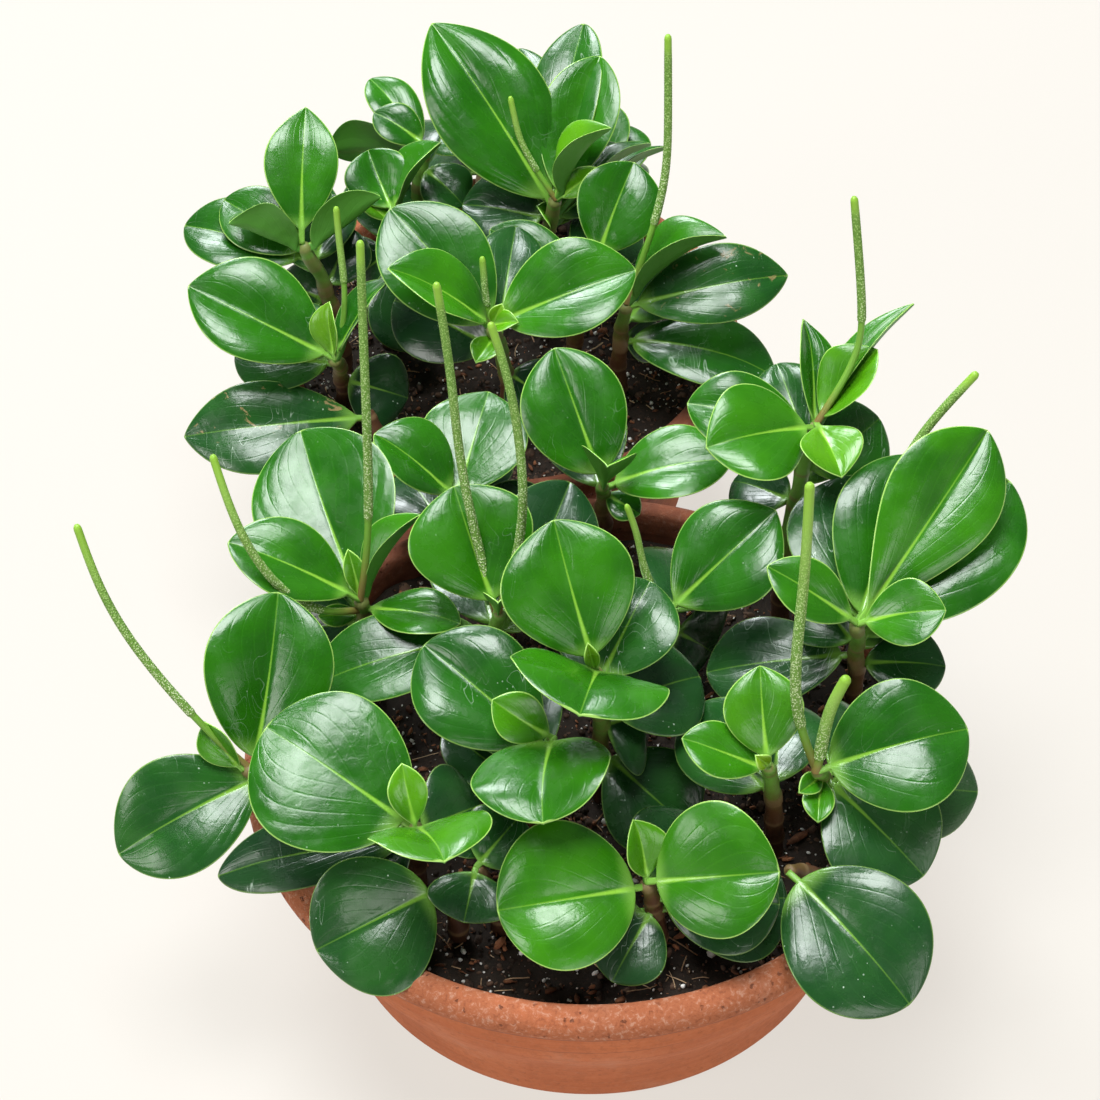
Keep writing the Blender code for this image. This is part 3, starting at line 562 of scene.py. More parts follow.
def stemCorners(shoot):
    root = centres[shoot["bowl"]] + np.array([*shoot["root"], 0]) * mm
    root[2] = plant["soilLevel"]
    top = pointAtHeight(*shoot["top"], shoot["height"] * mm)
    return root, root + np.array([0, 0, 0.55 * (top[2] - root[2])]), top


# A stem is a quadratic curve: straight up from its root, then leaning to its top
def stemPoint(shoot, share):
    root, middle, top = stemCorners(shoot)
    return root * (1 - share) ** 2 + middle * 2 * share * (1 - share) + top * share**2


def leafFrame(shoot, leaf, looks):
    start = stemPoint(shoot, leaf[0])
    tip = pointForward(leaf[1], leaf[2], start, looks.get("forward", leaf[3]))
    along = unit(tip - start)
    toEye = unit(eye - (start + tip) / 2)
    facing = unit(toEye - along * (toEye @ along))
    if "face" in looks:  # a leaf that is turned to catch the light
        facing = np.array(looks["face"])
        facing = unit(facing - along * (facing @ along))
    side = np.cross(along, facing)
    roll = math.radians(0 if "face" in looks else leaf[5])
    out = facing * math.cos(roll) + side * math.sin(roll)
    across = side * math.cos(roll) - facing * math.sin(roll)
    return start, np.linalg.norm(tip - start), along, across, out


def smoothLine(points, steps):
    # Catmull-Rom: each stretch is a cubic whose ends lean along their neighbours
    points = np.array(points)
    padded = np.vstack([2 * points[0] - points[1], points, 2 * points[-1] - points[-2]])
    t = np.linspace(0, 1, steps, endpoint=False)[None, :, None]
    a, b, c, d = (padded[k:len(points) - 1 + k, None] for k in range(4))
    line = 0.5 * (2 * b + (c - a) * t + (2 * a - 5 * b + 4 * c - d) * t**2
                  + (3 * b - a - 3 * c + d) * t**3)
    return np.vstack([line.reshape(-1, 3), points[-1:]])


def smoothStep(low, high, value):
    share = np.clip((value - low) / (high - low), 0, 1)
    return share * share * (3 - 2 * share)


# Smooth noise, from -1 to 1 for one octave: a lattice of random values, blended with
# smooth steps
lattice = np.random.default_rng(11).uniform(-1, 1, (64, 64))


def noise(x, y, octaves=1):
    total = np.zeros(np.broadcast(x, y).shape)
    for octave in range(octaves):
        scale = 2.0**octave
        column, row = np.asarray(x) * scale + 17.3 * octave, np.asarray(y) * scale + 5.1 * octave
        i, j = np.floor(column).astype(int), np.floor(row).astype(int)
        u, v = smoothStep(0, 1, column - i), smoothStep(0, 1, row - j)
        near = lattice[i % 64, j % 64] * (1 - u) + lattice[(i + 1) % 64, j % 64] * u
        far = lattice[i % 64, (j + 1) % 64] * (1 - u) + lattice[(i + 1) % 64, (j + 1) % 64] * u
        total = total + (near * (1 - v) + far * v) / scale
    return total


# Building meshes from arrays


def gridSkin(rows, columns, first=0):
    # faces of a closed tube of rings, with one end point before and one after the rings
    r, c = np.meshgrid(np.arange(rows - 1), np.arange(columns), indexing="ij")
    n = (c + 1) % columns
    here, there = first + r * columns, first + (r + 1) * columns
    quads = np.stack([here + c, there + c, there + n, here + n], -1).reshape(-1, 4)
    k = np.arange(columns)
    m = (k + 1) % columns
    low, high = first + rows * columns, first + rows * columns + 1
    last = first + (rows - 1) * columns
    lids = np.vstack([np.stack([first + m, np.full(columns, low), first + k], -1),
                      np.stack([last + k, np.full(columns, high), last + m], -1)])
    return quads, lids


def makeMesh(name, parts, material):
    # parts: (points, quads, triangles, uv, {attribute: values}) whose faces count from zero
    shift, points, quads, lids, places, marks = 0, [], [], [], [], {}
    for spots, fours, threes, uv, values in parts:
        points.append(spots)
        quads.append(fours + shift)
        lids.append(threes + shift)
        places.append(uv)
        for key, value in values.items():
            marks.setdefault(key, []).append(np.broadcast_to(value, len(spots)))
        shift += len(spots)
    points, quads, lids = np.vstack(points), np.vstack(quads), np.vstack(lids)
    corners = np.concatenate([quads.ravel(), lids.ravel()]).astype(np.int32)
    starts = np.concatenate([np.arange(len(quads)) * 4, len(quads) * 4 + np.arange(len(lids)) * 3])
    mesh = bpy.data.meshes.new(name)
    mesh.vertices.add(len(points))
    mesh.loops.add(len(corners))
    mesh.polygons.add(len(starts))
    mesh.vertices.foreach_set("co", points.astype(np.float32).ravel())
    mesh.loops.foreach_set("vertex_index", corners)
    mesh.polygons.foreach_set("loop_start", starts.astype(np.int32))
    mesh.update(calc_edges=True)
    layer = mesh.uv_layers.new(name="surface")
    layer.data.foreach_set("uv", np.vstack(places)[corners].astype(np.float32).ravel())
    for key, values in marks.items():
        attribute = mesh.attributes.new(key, "FLOAT", "POINT")
        attribute.data.foreach_set("value", np.concatenate(values).astype(np.float32))
    mesh.shade_smooth()
    mesh.materials.append(material)
    item = bpy.data.objects.new(name, mesh)
    bpy.context.scene.collection.objects.link(item)
    return item


def settle(item, slot, *nodes):
    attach(item, "root")
    if nodes:
        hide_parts(*nodes)
    return item


# Rings of a round rod: each ring is square to the line there, with its own radius
def rodPart(line, radius, around, bumps=None, values=None):
    line = np.asarray(line)
    ahead = unitRows(np.gradient(line, axis=0))
    first = unitRows(np.cross(ahead, [0.31, 0.95, 0.02]))
    second = np.cross(first, ahead)
    turn = np.linspace(0, 2 * np.pi, around, endpoint=False)
    reach = np.broadcast_to(np.asarray(radius)[:, None], (len(line), around))
    if bumps is not None:
        reach = reach + bumps
    rings = line[:, None] + reach[..., None] * (first[:, None] * np.cos(turn)[None, :, None]
                                                + second[:, None] * np.sin(turn)[None, :, None])
    points = np.vstack([rings.reshape(-1, 3), line[:1], line[-1:]])
    quads, lids = gridSkin(len(line), around)
    share = np.linspace(0, 1, len(line))
    uv = np.stack(np.broadcast_arrays(turn[None, :] / (2 * np.pi), share[:, None]), -1)
    uv = np.vstack([uv.reshape(-1, 2), [[0, 0]], [[0, 1]]])
    marks = {"share": np.concatenate([np.repeat(share, around), [0, 1]])}
    for key, value in (values or {}).items():
        marks[key] = value
    return points, quads, lids, uv, marks


# Leaves


def leafPart(shoot, leaf, looks, random):
    # A closed skin: rings run from the stalk to the tip, and each ring is a flat ellipse
    # bent by the fold, the puffed halves, the turned-down margin and the sunken veins
    start, length, along, across, out = leafFrame(shoot, leaf, looks)
    width, fold, age = leaf[4] * mm, math.radians(looks.get("fold", leaf[6] + 3)), leaf[8]
    bend = looks.get("bend", leaf[7] / 100)
    fine = leaf[4] >= leafShape["fineFrom"]
    rings, around = leafShape["fineGrid"] if fine else leafShape["plainGrid"]
    stalk = min(0.10 * length, leafShape["stalk"])
    stalkRadius = min(leafShape["stalkRadius"], 0.035 * width + 0.5 * mm)
    s = 0.5 - 0.5 * np.cos(np.pi * np.linspace(0, 1, rings))
    distance = np.append(np.linspace(0, stalk, 5)[:-1], stalk + (length - stalk) * s)[:-1, None]
    s = np.clip((distance - stalk) / (length - stalk), 0, 1)
    q = distance / length
    turn = np.linspace(0, 2 * np.pi, around, endpoint=False)[None, :]
    x, rise = np.cos(turn), np.sin(turn)
    young = 1 - smoothStep(0.1, 0.6, age)
    base = looks.get("base", 0.56 + 0.22 * young + random.uniform(-0.05, 0.05))
    full = looks.get("full", 2.3 - 0.3 * young + random.uniform(-0.25, 0.25))
    point = looks.get("point", 0.66 + 0.22 * young)
    outline = s**base * (1 - s**full) ** point
    outline = outline / outline.max()
    lopsided = 1 + looks.get("lop", random.uniform(-0.05, 0.05)) * x
    half = np.sqrt((width / 2 * outline)**2 + (stalkRadius * (1 - s)**3)**2) * lopsided
    blade = smoothStep(0, 0.14, s)
    thick = stalkRadius * (1 - blade) + leafShape["thickness"] / 2 * blade
    rib = leafShape["rib"] * np.exp(-(x * half / leafShape["ribWidth"])**2) * (1 - s)
    side = np.abs(x)
    softSide = np.sqrt(x**2 + 0.002) - 0.045
    puff = looks.get("puff", random.uniform(0.03, 0.09)) * 4 * side * (1 - side)
    curl = looks.get("curl", random.uniform(0.0, 0.08)) * side**3
    phase = random.uniform(0, 2 * np.pi, 2)
    wave = looks.get("wave", random.uniform(0.015, 0.05)) * side**2
    wave = wave * np.where(x > 0, np.sin(7.5 * s + phase[0]), np.sin(7.5 * s + phase[1]))
    lift = half * (math.sin(fold) * softSide + blade * (puff - curl + wave))
    course = (side + veinShape["sweep"] * (1 - s)**veinShape["power"] - 0.25) / veinShape["gap"]
    vein = np.abs(course - np.round(course))
    pucker = looks.get("pucker", random.uniform(0.3, 0.8)) * leafShape["pucker"]
    fade = blade * smoothStep(0, 0.2, side) * (1 - smoothStep(0.75, 1, side)) * (1 - s**3)
    lift = lift + pucker * fade * (smoothStep(0, 0.5, vein) - 0.6) * (width / (70 * mm))
    groove = np.exp(-(x * half / leafShape["grooveWidth"])**2)
    lift = lift - leafShape["groove"] * groove * blade
    lift = lift + 4 * bend * length * q * (1 - q)
    nod = looks.get("nod", random.uniform(0, 0.04)) * length
    lift = lift - nod * smoothStep(0.6, 1, q)**2
    skin = np.where(rise > 0, thick, thick + rib) * np.sign(rise) * np.abs(rise)**0.75
    sway = random.uniform(-0.02, 0.02) * length * 4 * q * (1 - q)
    reach = half * x * math.cos(fold) + sway
    points = (start + along * distance[..., None] + across * reach[..., None]
              + out * (lift + skin)[..., None]).reshape(-1, 3)
    tip = start + along * length - out * nod
    ends = np.vstack([start, tip])
    rows = len(distance)
    quads, lids = gridSkin(rows, around)
    uv = np.stack(np.broadcast_arrays((x + 1) / 2, s), -1).reshape(-1, 2)
    uv = np.vstack([uv, [[0.5, 0], [0.5, 1]]])
    marks = {
        "age": age,
        "tint": random.uniform(0, 1),
        "spots": looks.get("spots", 0.0),
        "halfWidth": np.append((half / mm + 0 * x).ravel(), [1, 0.2]),
        "under": np.append(np.broadcast_to(rise < -0.05, (rows, around)).ravel(), [0, 0]),
        "stalk": np.append(np.broadcast_to(1 - blade, (rows, around)).ravel(), [1, 0]),
    }
    return np.vstack([points, ends]), quads, lids, uv, marks


# Flower spikes: a smooth stalk, then rows of pebbles in a staggered net that fade to a
# smooth green tip


def spikePart(name):
    shootName, share, places = spikes[name]
    looks = spikeLooks.get(name, {})
    origin = stemPoint(shoots[shootName], share)
    passed = [pointForward(place[0], place[1], origin, place[2]) for place in places]
    rough = smoothLine([origin] + passed, 24)
    for _ in range(90):  # evens out the bends, the ends stay
        rough[1:-1] = (rough[:-2] + rough[2:]) / 2
    steps = np.append(0, np.cumsum(np.linalg.norm(np.diff(rough, axis=0), axis=1)))
    length = steps[-1]
    rows, tip = int(length / spikeShape["rowGap"]), spikeShape["tip"]
    distance = np.append(np.linspace(0, length - tip, rows),
                         length - tip * np.cos(np.linspace(0.2, 1.45, 7)))
    line = np.stack([np.interp(distance, steps, rough[:, k]) for k in range(3)], 1)
    v = distance / length
    stalkShare = looks.get("stalk", 0.2)
    body = smoothStep(stalkShare - 0.004, stalkShare + 0.012, v)
    radius = looks.get("radius", 2.25) * mm
    bare = 0.66 * radius + 0.3 * mm * (1 - v)
    radius = bare * (1 - body) + radius * body * (1 - 0.14 * v)
    pastBody = ((distance - length + tip) / (3.02 * mm)).clip(0)
    closing = np.sqrt(np.clip(1 - pastBody**2, 0, 1))
    around = spikeShape["around"]
    turn = np.linspace(0, 2 * np.pi, around, endpoint=False)[None, :]
    ripe = body * (1 - smoothStep(looks.get("ripe", 0.6), 0.97, v))
    lengthwise = np.pi * distance[:, None] / spikeShape["pebble"]
    net = np.cos(turn * 6 + lengthwise) * np.cos(turn * 6 - lengthwise)
    bumps = spikeShape["bump"] * net * (0.25 * body + ripe)[:, None]
    marks = {"ripe": np.append(np.repeat(ripe, around), [0, 0]),
             "flower": np.append(np.repeat(body, around), [0, 1])}
    return rodPart(line, radius * closing, around, bumps, marks)


# Stems: a fleshy rod, swollen at each node where a leaf leaves it


def stemPart(shoot, random):
    rows, around = stemShape["rows"], stemShape["around"]
    share = np.linspace(-0.06, 1, rows)
    line = np.array([stemPoint(shoot, max(k, 0)) for k in share])
    line[:, 2] += np.minimum(share, 0) * 60 * mm
    height = np.linalg.norm(line[-1] - line[0])
    knots = [leaf[0] for leaf in shoot["leaves"]]
    knots += list(np.arange(0.12, min(knots), 0.016 / height) + random.uniform(-0.02, 0.02))
    reach = stemShape["knot"] / height
    swell = np.minimum(sum(np.exp(-((share - knot) / reach)**2) for knot in set(knots)), 1.0)
    radius = stemShape["foot"] + (stemShape["top"] - stemShape["foot"]) * share
    radius = radius * (1 + stemShape["swelling"] * swell)
    turn = np.linspace(0, 2 * np.pi, around, endpoint=False)[None, :]
    bumps = noise(turn * 1.9 + random.uniform(0, 9), share[:, None] * height * 160)
    across = random.uniform(0, 2 * np.pi)
    zigzag = stemShape["zigzag"] * np.sin(share * height / stemShape["zigzagEvery"] * np.pi)
    line[:, 0] += zigzag * math.cos(across)
    line[:, 1] += zigzag * math.sin(across)
    radius[-1] *= 0.55
    marks = {"height": np.append(np.repeat(line[:, 2], around), [line[0, 2], line[-1, 2]]),
             "knot": np.append(np.repeat(swell, around), [0, 0])}
    return rodPart(line, radius, around, stemShape["waver"] * bumps, marks)


# Bowls: a profile of (radius, height), rounded once by cutting its corners, turned
# about an upright axis with a slight hand-made waver


def rounded(profile):
    profile = np.array(profile, float)
    after = np.roll(profile, -1, axis=0)
    return np.stack([0.75 * profile + 0.25 * after, 0.25 * profile + 0.75 * after], 1).reshape(-1, 2)


def bowlProfile(bowl):
    r, f = bowl["rim"], bowl["foot"]
    inner, hole, floor = r - 15, plant["drain"], plant["floor"]
    return [
        (r - 13.2, 118.6), (r - 11.4, 119.8), (r - 8.6, 120), (r - 5.6, 119.4), (r - 2.8, 117.6),
        (r - 0.9, 114.8), (r, 111.4), (r - 0.2, 108.0), (r - 1.6, 105.2), (r - 4.0, 103.8),
        (r - 6.8, 103.4), (r - 7.8, 101.8), (r - 8.2, 98.6), (r - 9.9, 84.6), (r - 10.2, 83.1),
        (r - 11.7, 81.6), (r - 12.4, 79.8), (r - 15.5, 67), (f + 0.5 * (r - 16 - f), 44),
        (f + 0.26 * (r - 16 - f), 24), (f + 4.2, 8), (f + 2.6, 3), (f + 0.4, 0.4), (f - 2, 0),
        (f - 8, 0), (hole + 3, 0),
        (hole + 1, 0), (hole, 1.6), (hole, floor - 2), (hole + 1.4, floor), (f - 22, floor),
        (f - 11, floor + 1), (f - 5, floor + 9), (inner - 14, 60), (inner - 5, 86), (inner - 1.6, 100),
        (inner - 0.3, 110), (inner + 0.6, 116),
    ]


def bowlPart(bowl, centre, seed):
    profile = rounded(bowlProfile(bowl)) * mm
    around = plant["bowlSteps"]
    turn = np.linspace(0, 2 * np.pi, around, endpoint=False)
    radius, height = profile[:, 0][None, :], profile[:, 1][None, :]
    circle = turn[:, None]
    waver = noise(np.cos(circle) * 2.2 + seed, np.sin(circle) * 2.2 + height * 14, 2)
    dents = noise(circle * 18 + seed, height * 420, 2)
    free = smoothStep(2 * mm, 9 * mm, height) * smoothStep(40 * mm, 60 * mm, radius)
    radius = radius + free * (0.32 * mm * waver + 0.10 * mm * dents)
    points = np.stack(np.broadcast_arrays(radius * np.cos(circle), radius * np.sin(circle), height), -1)
    points = points.reshape(-1, 3) + centre
    count = profile.shape[0]
    i, j = np.meshgrid(np.arange(around), np.arange(count), indexing="ij")
    k, n = (i + 1) % around, (j + 1) % count
    quads = np.stack([i * count + j, i * count + n, k * count + n, k * count + j], -1).reshape(-1, 4)
    uv = np.stack(np.broadcast_arrays(circle / (2 * np.pi), np.arange(count)[None, :] / count), -1)
    return points, quads, np.zeros((0, 3), int), uv.reshape(-1, 2), {}


# Soil: rings about the bowl's axis with clods from smooth noise, closed by its wall and
# floor, so that it is one solid


def soilHeight(x, y, seed):
    clods = 2.6 * mm * noise(x * 60 + seed, y * 60, 2)
    grains = 1.3 * mm * noise(x * 260 + seed, y * 260 + 3, 2)
    return plant["soilLevel"] + clods + grains - 1.5 * mm


def soilPart(bowl, centre, seed):
    edge = (bowl["rim"] - 16.2) * mm
    rings, around = plant["soilGrid"]
    turn = np.linspace(0, 2 * np.pi, around, endpoint=False)[:, None]
    radius = (np.linspace(0.004, 1, rings)**0.8 * edge)[None, :]
    x, y = radius * np.cos(turn), radius * np.sin(turn)
    z = soilHeight(x, y, seed)
    foot, low = bowl["foot"], (plant["floor"] + 0.4) * mm
    wall = [(edge - 5 * mm, 85 * mm), ((foot - 12) * mm, (plant["floor"] + 4) * mm),
            ((foot - 20) * mm, low), (1 * mm, low)]
    for reach, height in wall:
        x = np.hstack([x, reach * np.cos(turn)])
        y = np.hstack([y, reach * np.sin(turn)])
        z = np.hstack([z, np.full((around, 1), height)])
    points = np.stack([x, y, z], -1).transpose(1, 0, 2).reshape(-1, 3)
    points = np.vstack([points, [[0, 0, plant["soilLevel"]], [0, 0, low]]]) + centre
    quads, lids = gridSkin(rings + len(wall), around)
    return points, quads, lids, points[:, :2] * 4, {}


# Crumbs, bark and perlite: small rough lumps scattered over the soil, each a stretched
# and dented ball of twenty faces, turned at random

gold = (1 + 5**0.5) / 2
ball = np.array([(-1, gold, 0), (1, gold, 0), (-1, -gold, 0), (1, -gold, 0), (0, -1, gold), (0, 1, gold),
                 (0, -1, -gold), (0, 1, -gold), (gold, 0, -1), (gold, 0, 1), (-gold, 0, -1),
                 (-gold, 0, 1)])
ball = ball / np.linalg.norm(ball[0])
ballFaces = np.array([(0, 11, 5), (0, 5, 1), (0, 1, 7), (0, 7, 10), (0, 10, 11), (1, 5, 9), (5, 11, 4),
                      (11, 10, 2), (10, 7, 6), (7, 1, 8), (3, 9, 4), (3, 4, 2), (3, 2, 6), (3, 6, 8),
                      (3, 8, 9), (4, 9, 5), (2, 4, 11), (6, 2, 10), (8, 6, 7), (9, 8, 1)])


def turnedEach(lumps, first, second, angles):
    # turns each lump by its own angle, in the plane of two of the three directions
    cosine, sine = np.cos(angles)[:, None], np.sin(angles)[:, None]
    result = lumps.copy()
    result[..., first] = lumps[..., first] * cosine - lumps[..., second] * sine
    result[..., second] = lumps[..., first] * sine + lumps[..., second] * cosine
    return result


def lumpPart(bowl, centre, seed, recipe, share, random):
    count = int(recipe["count"] * share)
    edge = (bowl["rim"] - 17.5) * mm
    size = recipe["size"] * mm * np.exp(random.normal(0, recipe["spread"], count))
    size = np.minimum(size, recipe["most"] * mm)
    reach = (edge - size * recipe["shape"][0]) * np.sqrt(random.uniform(0, 1, count))
    turn = random.uniform(0, 2 * np.pi, count)
    x, y = reach * np.cos(turn), reach * np.sin(turn)
    z = soilHeight(x, y, seed) + size * recipe["sit"]
    shape = np.array(recipe["shape"]) * random.uniform(0.7, 1.3, (count, 3))
    lumps = ball[None] * (size[:, None, None] * shape[:, None, :])
    lumps = lumps * random.uniform(0.72, 1.2, (count, 12, 1))
    yaw, tilt = random.uniform(0, 2 * np.pi, count), random.normal(0, recipe["tilt"], count)
    lumps = turnedEach(turnedEach(lumps, 1, 2, tilt), 0, 1, yaw)
    points = (lumps + np.stack([x, y, z], -1)[:, None]).reshape(-1, 3) + centre
    lids = (ballFaces[None] + 12 * np.arange(count)[:, None, None]).reshape(-1, 3)
    marks = {"tint": np.repeat(random.uniform(0, 1, count), 12)}
    return points, np.zeros((0, 4), int), lids, points[:, :2] * 4, marks


# Shaders. A Value is a socket in a node tree, and arithmetic with Values adds the nodes
# that work it out. A new node goes into the tree that its inputs come from.


class Value:
    def __init__(self, tree, socket):
        self.tree, self.socket = tree, socket

    def __add__(self, other):
        return calc("ADD", self, other)

    def __sub__(self, other):
        return calc("SUBTRACT", self, other)

    def __rsub__(self, other):
        return calc("SUBTRACT", other, self)

    def __mul__(self, other):
        return calc("MULTIPLY", self, other)

    def __truediv__(self, other):
        return calc("DIVIDE", self, other)

    def __pow__(self, other):
        return calc("POWER", self, other)

    def __abs__(self):
        return calc("ABSOLUTE", self)

    __radd__, __rmul__ = __add__, __mul__


def colour(values):
    return (*values, 1.0)


def put(socket, value):
    if isinstance(value, Value):
        value.tree.links.new(value.socket, socket)
    else:
        socket.default_value = value


def newNode(kind, inputs, **settings):
    tree = next(value.tree for value in inputs.values() if isinstance(value, Value))
    node = tree.nodes.new("ShaderNode" + kind)
    for key, value in settings.items():
        setattr(node, key, value)
    for key, value in inputs.items():
        put(node.inputs[key], value)
    return node


def add(kind, inputs, **settings):
    node = newNode(kind, inputs, **settings)
    return lambda key=0: Value(node.id_data, node.outputs[key])


def source(tree, kind, key, **settings):
    node = tree.nodes.new("ShaderNode" + kind)
    for name, value in settings.items():
        setattr(node, name, value)
    return Value(tree, node.outputs[key])


def mark(place, name):
    return source(place.tree, "Attribute", "Fac", attribute_name=name)


def calc(operation, a, b=0.0):
    return add("Math", {0: a, 1: b}, operation=operation)()


def ease(value, low, high, start=0.0, end=1.0):
    inputs = {"Value": value, "From Min": low, "From Max": high, "To Min": start, "To Max": end}
    return add("MapRange", inputs, interpolation_type="SMOOTHSTEP")()


def tone(mask, first, second, mode="MIX"):
    first, second = (colour(shade) if isinstance(shade, tuple) else shade for shade in (first, second))
    return add("Mix", {0: mask, 6: first, 7: second}, data_type="RGBA", blend_type=mode)(2)


def coats(base, look, *layers):
    # lays colours of a look over the base, each as far as its mask says
    for mask, key in layers:
        base = tone(mask, base, look[key])
    return base


def ramp(value, stops):
    node = newNode("ValToRGB", {0: value})
    for k, (place, shade) in enumerate(stops):
        stop = node.color_ramp.elements[k] if k < 2 else node.color_ramp.elements.new(place)
        stop.position = place
        stop.color = colour(shade)
    return Value(node.id_data, node.outputs[0])


def speckle(vector, scale, detail=2.0, roughness=0.5, distortion=0.0):
    inputs = {"Vector": vector, "Scale": scale, "Detail": detail, "Roughness": roughness,
              "Distortion": distortion}
    return add("TexNoise", inputs)("Fac")


def stretched(vector, scale):
    return add("Mapping", {"Vector": vector, "Scale": scale})()


def bump(height, strength, distance):
    return add("Bump", {"Height": height, "Strength": strength, "Distance": distance})()


def newMaterial(name, **sockets):
    material = bpy.data.materials.new(name)
    material.use_nodes = True
    surface = material.node_tree.nodes["Principled BSDF"].inputs
    for key, value in sockets.items():
        surface[key.replace("_", " ")].default_value = value
    return material, surface, source(material.node_tree, "TexCoord", "Object")


def dress(surface, shade, roughness, relief):
    put(surface["Base Color"], shade)
    put(surface["Roughness"], roughness)
    put(surface["Normal"], relief)


def newGroup(name, inputs, outputs):
    tree = bpy.data.node_groups.new(name, "ShaderNodeTree")
    for key, kind in inputs.items():
        tree.interface.new_socket(key, in_out="INPUT", socket_type="NodeSocket" + kind)
    for key in outputs:
        tree.interface.new_socket(key, in_out="OUTPUT", socket_type="NodeSocketFloat")
    given = tree.nodes.new("NodeGroupInput").outputs
    made = tree.nodes.new("NodeGroupOutput").inputs
    return tree, [Value(tree, given[key]) for key in inputs], made


# Effects that several materials use


def makeLeafVeins():
    # midrib: near the middle, wider at the base; side veins: the same lines as in the
    # leaf's shape, by veinShape; margin: the last millimetre
    inputs = {"Place": "Vector", "HalfWidth": "Float"}
    group, (place, halfWidth), made = newGroup("leafVeins", inputs, ["Midrib", "Veins", "Margin"])
    split = add("SeparateXYZ", {0: place})
    side, left = abs(split(0) * 2.0 - 1.0), 1.0 - split(1)
    ribWidth = 0.42 + 1.5 * left**3.0
    rib = ease(side * halfWidth / ribWidth, 1.25, 0.25)
    put(made["Midrib"], rib * ease(left, 0.0, 0.9, 0.25, 1.0))
    course = side + veinShape["sweep"] * left ** veinShape["power"]
    course = calc("FRACT", course / veinShape["gap"] + 0.25)
    fade = ease(side, 0.0, 0.15) * ease(side, 0.95, 0.7)
    put(made["Veins"], ease(abs(course - 0.5), 0.12, 0.0) * fade)
    fromEdge = calc("MINIMUM", (1.0 - side) * halfWidth, left * 60.0)
    put(made["Margin"], ease(fromEdge, 0.85, 0.25))
    return group


def makeSurfaceDust():
    # specks: small random dots of dried water; scratches: thin bands of a stretched noise
    inputs = {"Place": "Vector", "Amount": "Float"}
    group, (place, amount), made = newGroup("surfaceDust", inputs, ["Specks", "Scratches", "Smears"])
    dots = add("TexVoronoi", {"Vector": place, "Scale": 420.0})
    chosen = add("SeparateColor", {0: dots("Color")})
    size = chosen(0) ** 3.0 * 0.24
    patches = ease(speckle(place, 45.0, 3.0), 0.44, 0.62)
    specks = ease(dots("Distance") / size, 1.0, 0.6) * ease(chosen(1), 0.35, 0.5) * patches
    put(made["Specks"], specks * amount)
    band = abs(speckle(stretched(place, (1.0, 0.22, 0.6)), 70.0, 1.0, 0.5, 1.6) - 0.5)
    rare = ease(speckle(place, 28.0, 2.0), 0.55, 0.66)
    put(made["Scratches"], ease(band, 0.006, 0.001) * rare * amount)
    put(made["Smears"], ease(speckle(place, 60.0, 4.0, 0.6, 0.6), 0.45, 0.75))
    return group


def makeFineGrain():
    # grain: two sizes of noise added up; patches: a third, much larger one
    inputs = {"Place": "Vector", "Scale": "Float"}
    group, (place, scale), made = newGroup("fineGrain", inputs, ["Grain", "Patches"])
    fine = speckle(place, scale * 8.0, 3.0, 0.6)
    middle = speckle(place, scale * 2.2, 3.0, 0.6)
    coarse = speckle(place, scale * 0.35, 3.0, 0.55)
    put(made["Grain"], fine * 0.4 + middle * 0.6)
    put(made["Patches"], ease(coarse, 0.32, 0.68))
    return group


leafLook = {
    "ages": [(0.0, (0.18, 0.35, 0.009)), (0.15, (0.067, 0.245, 0.004)), (0.3, (0.026, 0.158, 0.003)),
             (0.45, (0.014, 0.112, 0.002)), (0.65, (0.011, 0.088, 0.005)),
             (0.85, (0.013, 0.070, 0.013)), (1.0, (0.007, 0.030, 0.010))],
    "paler": (1.55, 1.35, 1.2),  # these two multiply the age's colour
    "darker": (0.62, 0.74, 0.85),
    "midrib": (0.27, 0.56, 0.05),
    "margin": (0.42, 0.68, 0.15),
    "under": (0.075, 0.27, 0.025),
    "stalk": (0.17, 0.38, 0.05),
    "speck": (0.55, 0.68, 0.55),
    "spot": (0.42, 0.27, 0.13),
    "shine": (0.19, 0.30),  # roughness at the smoothest and at the dullest places
}


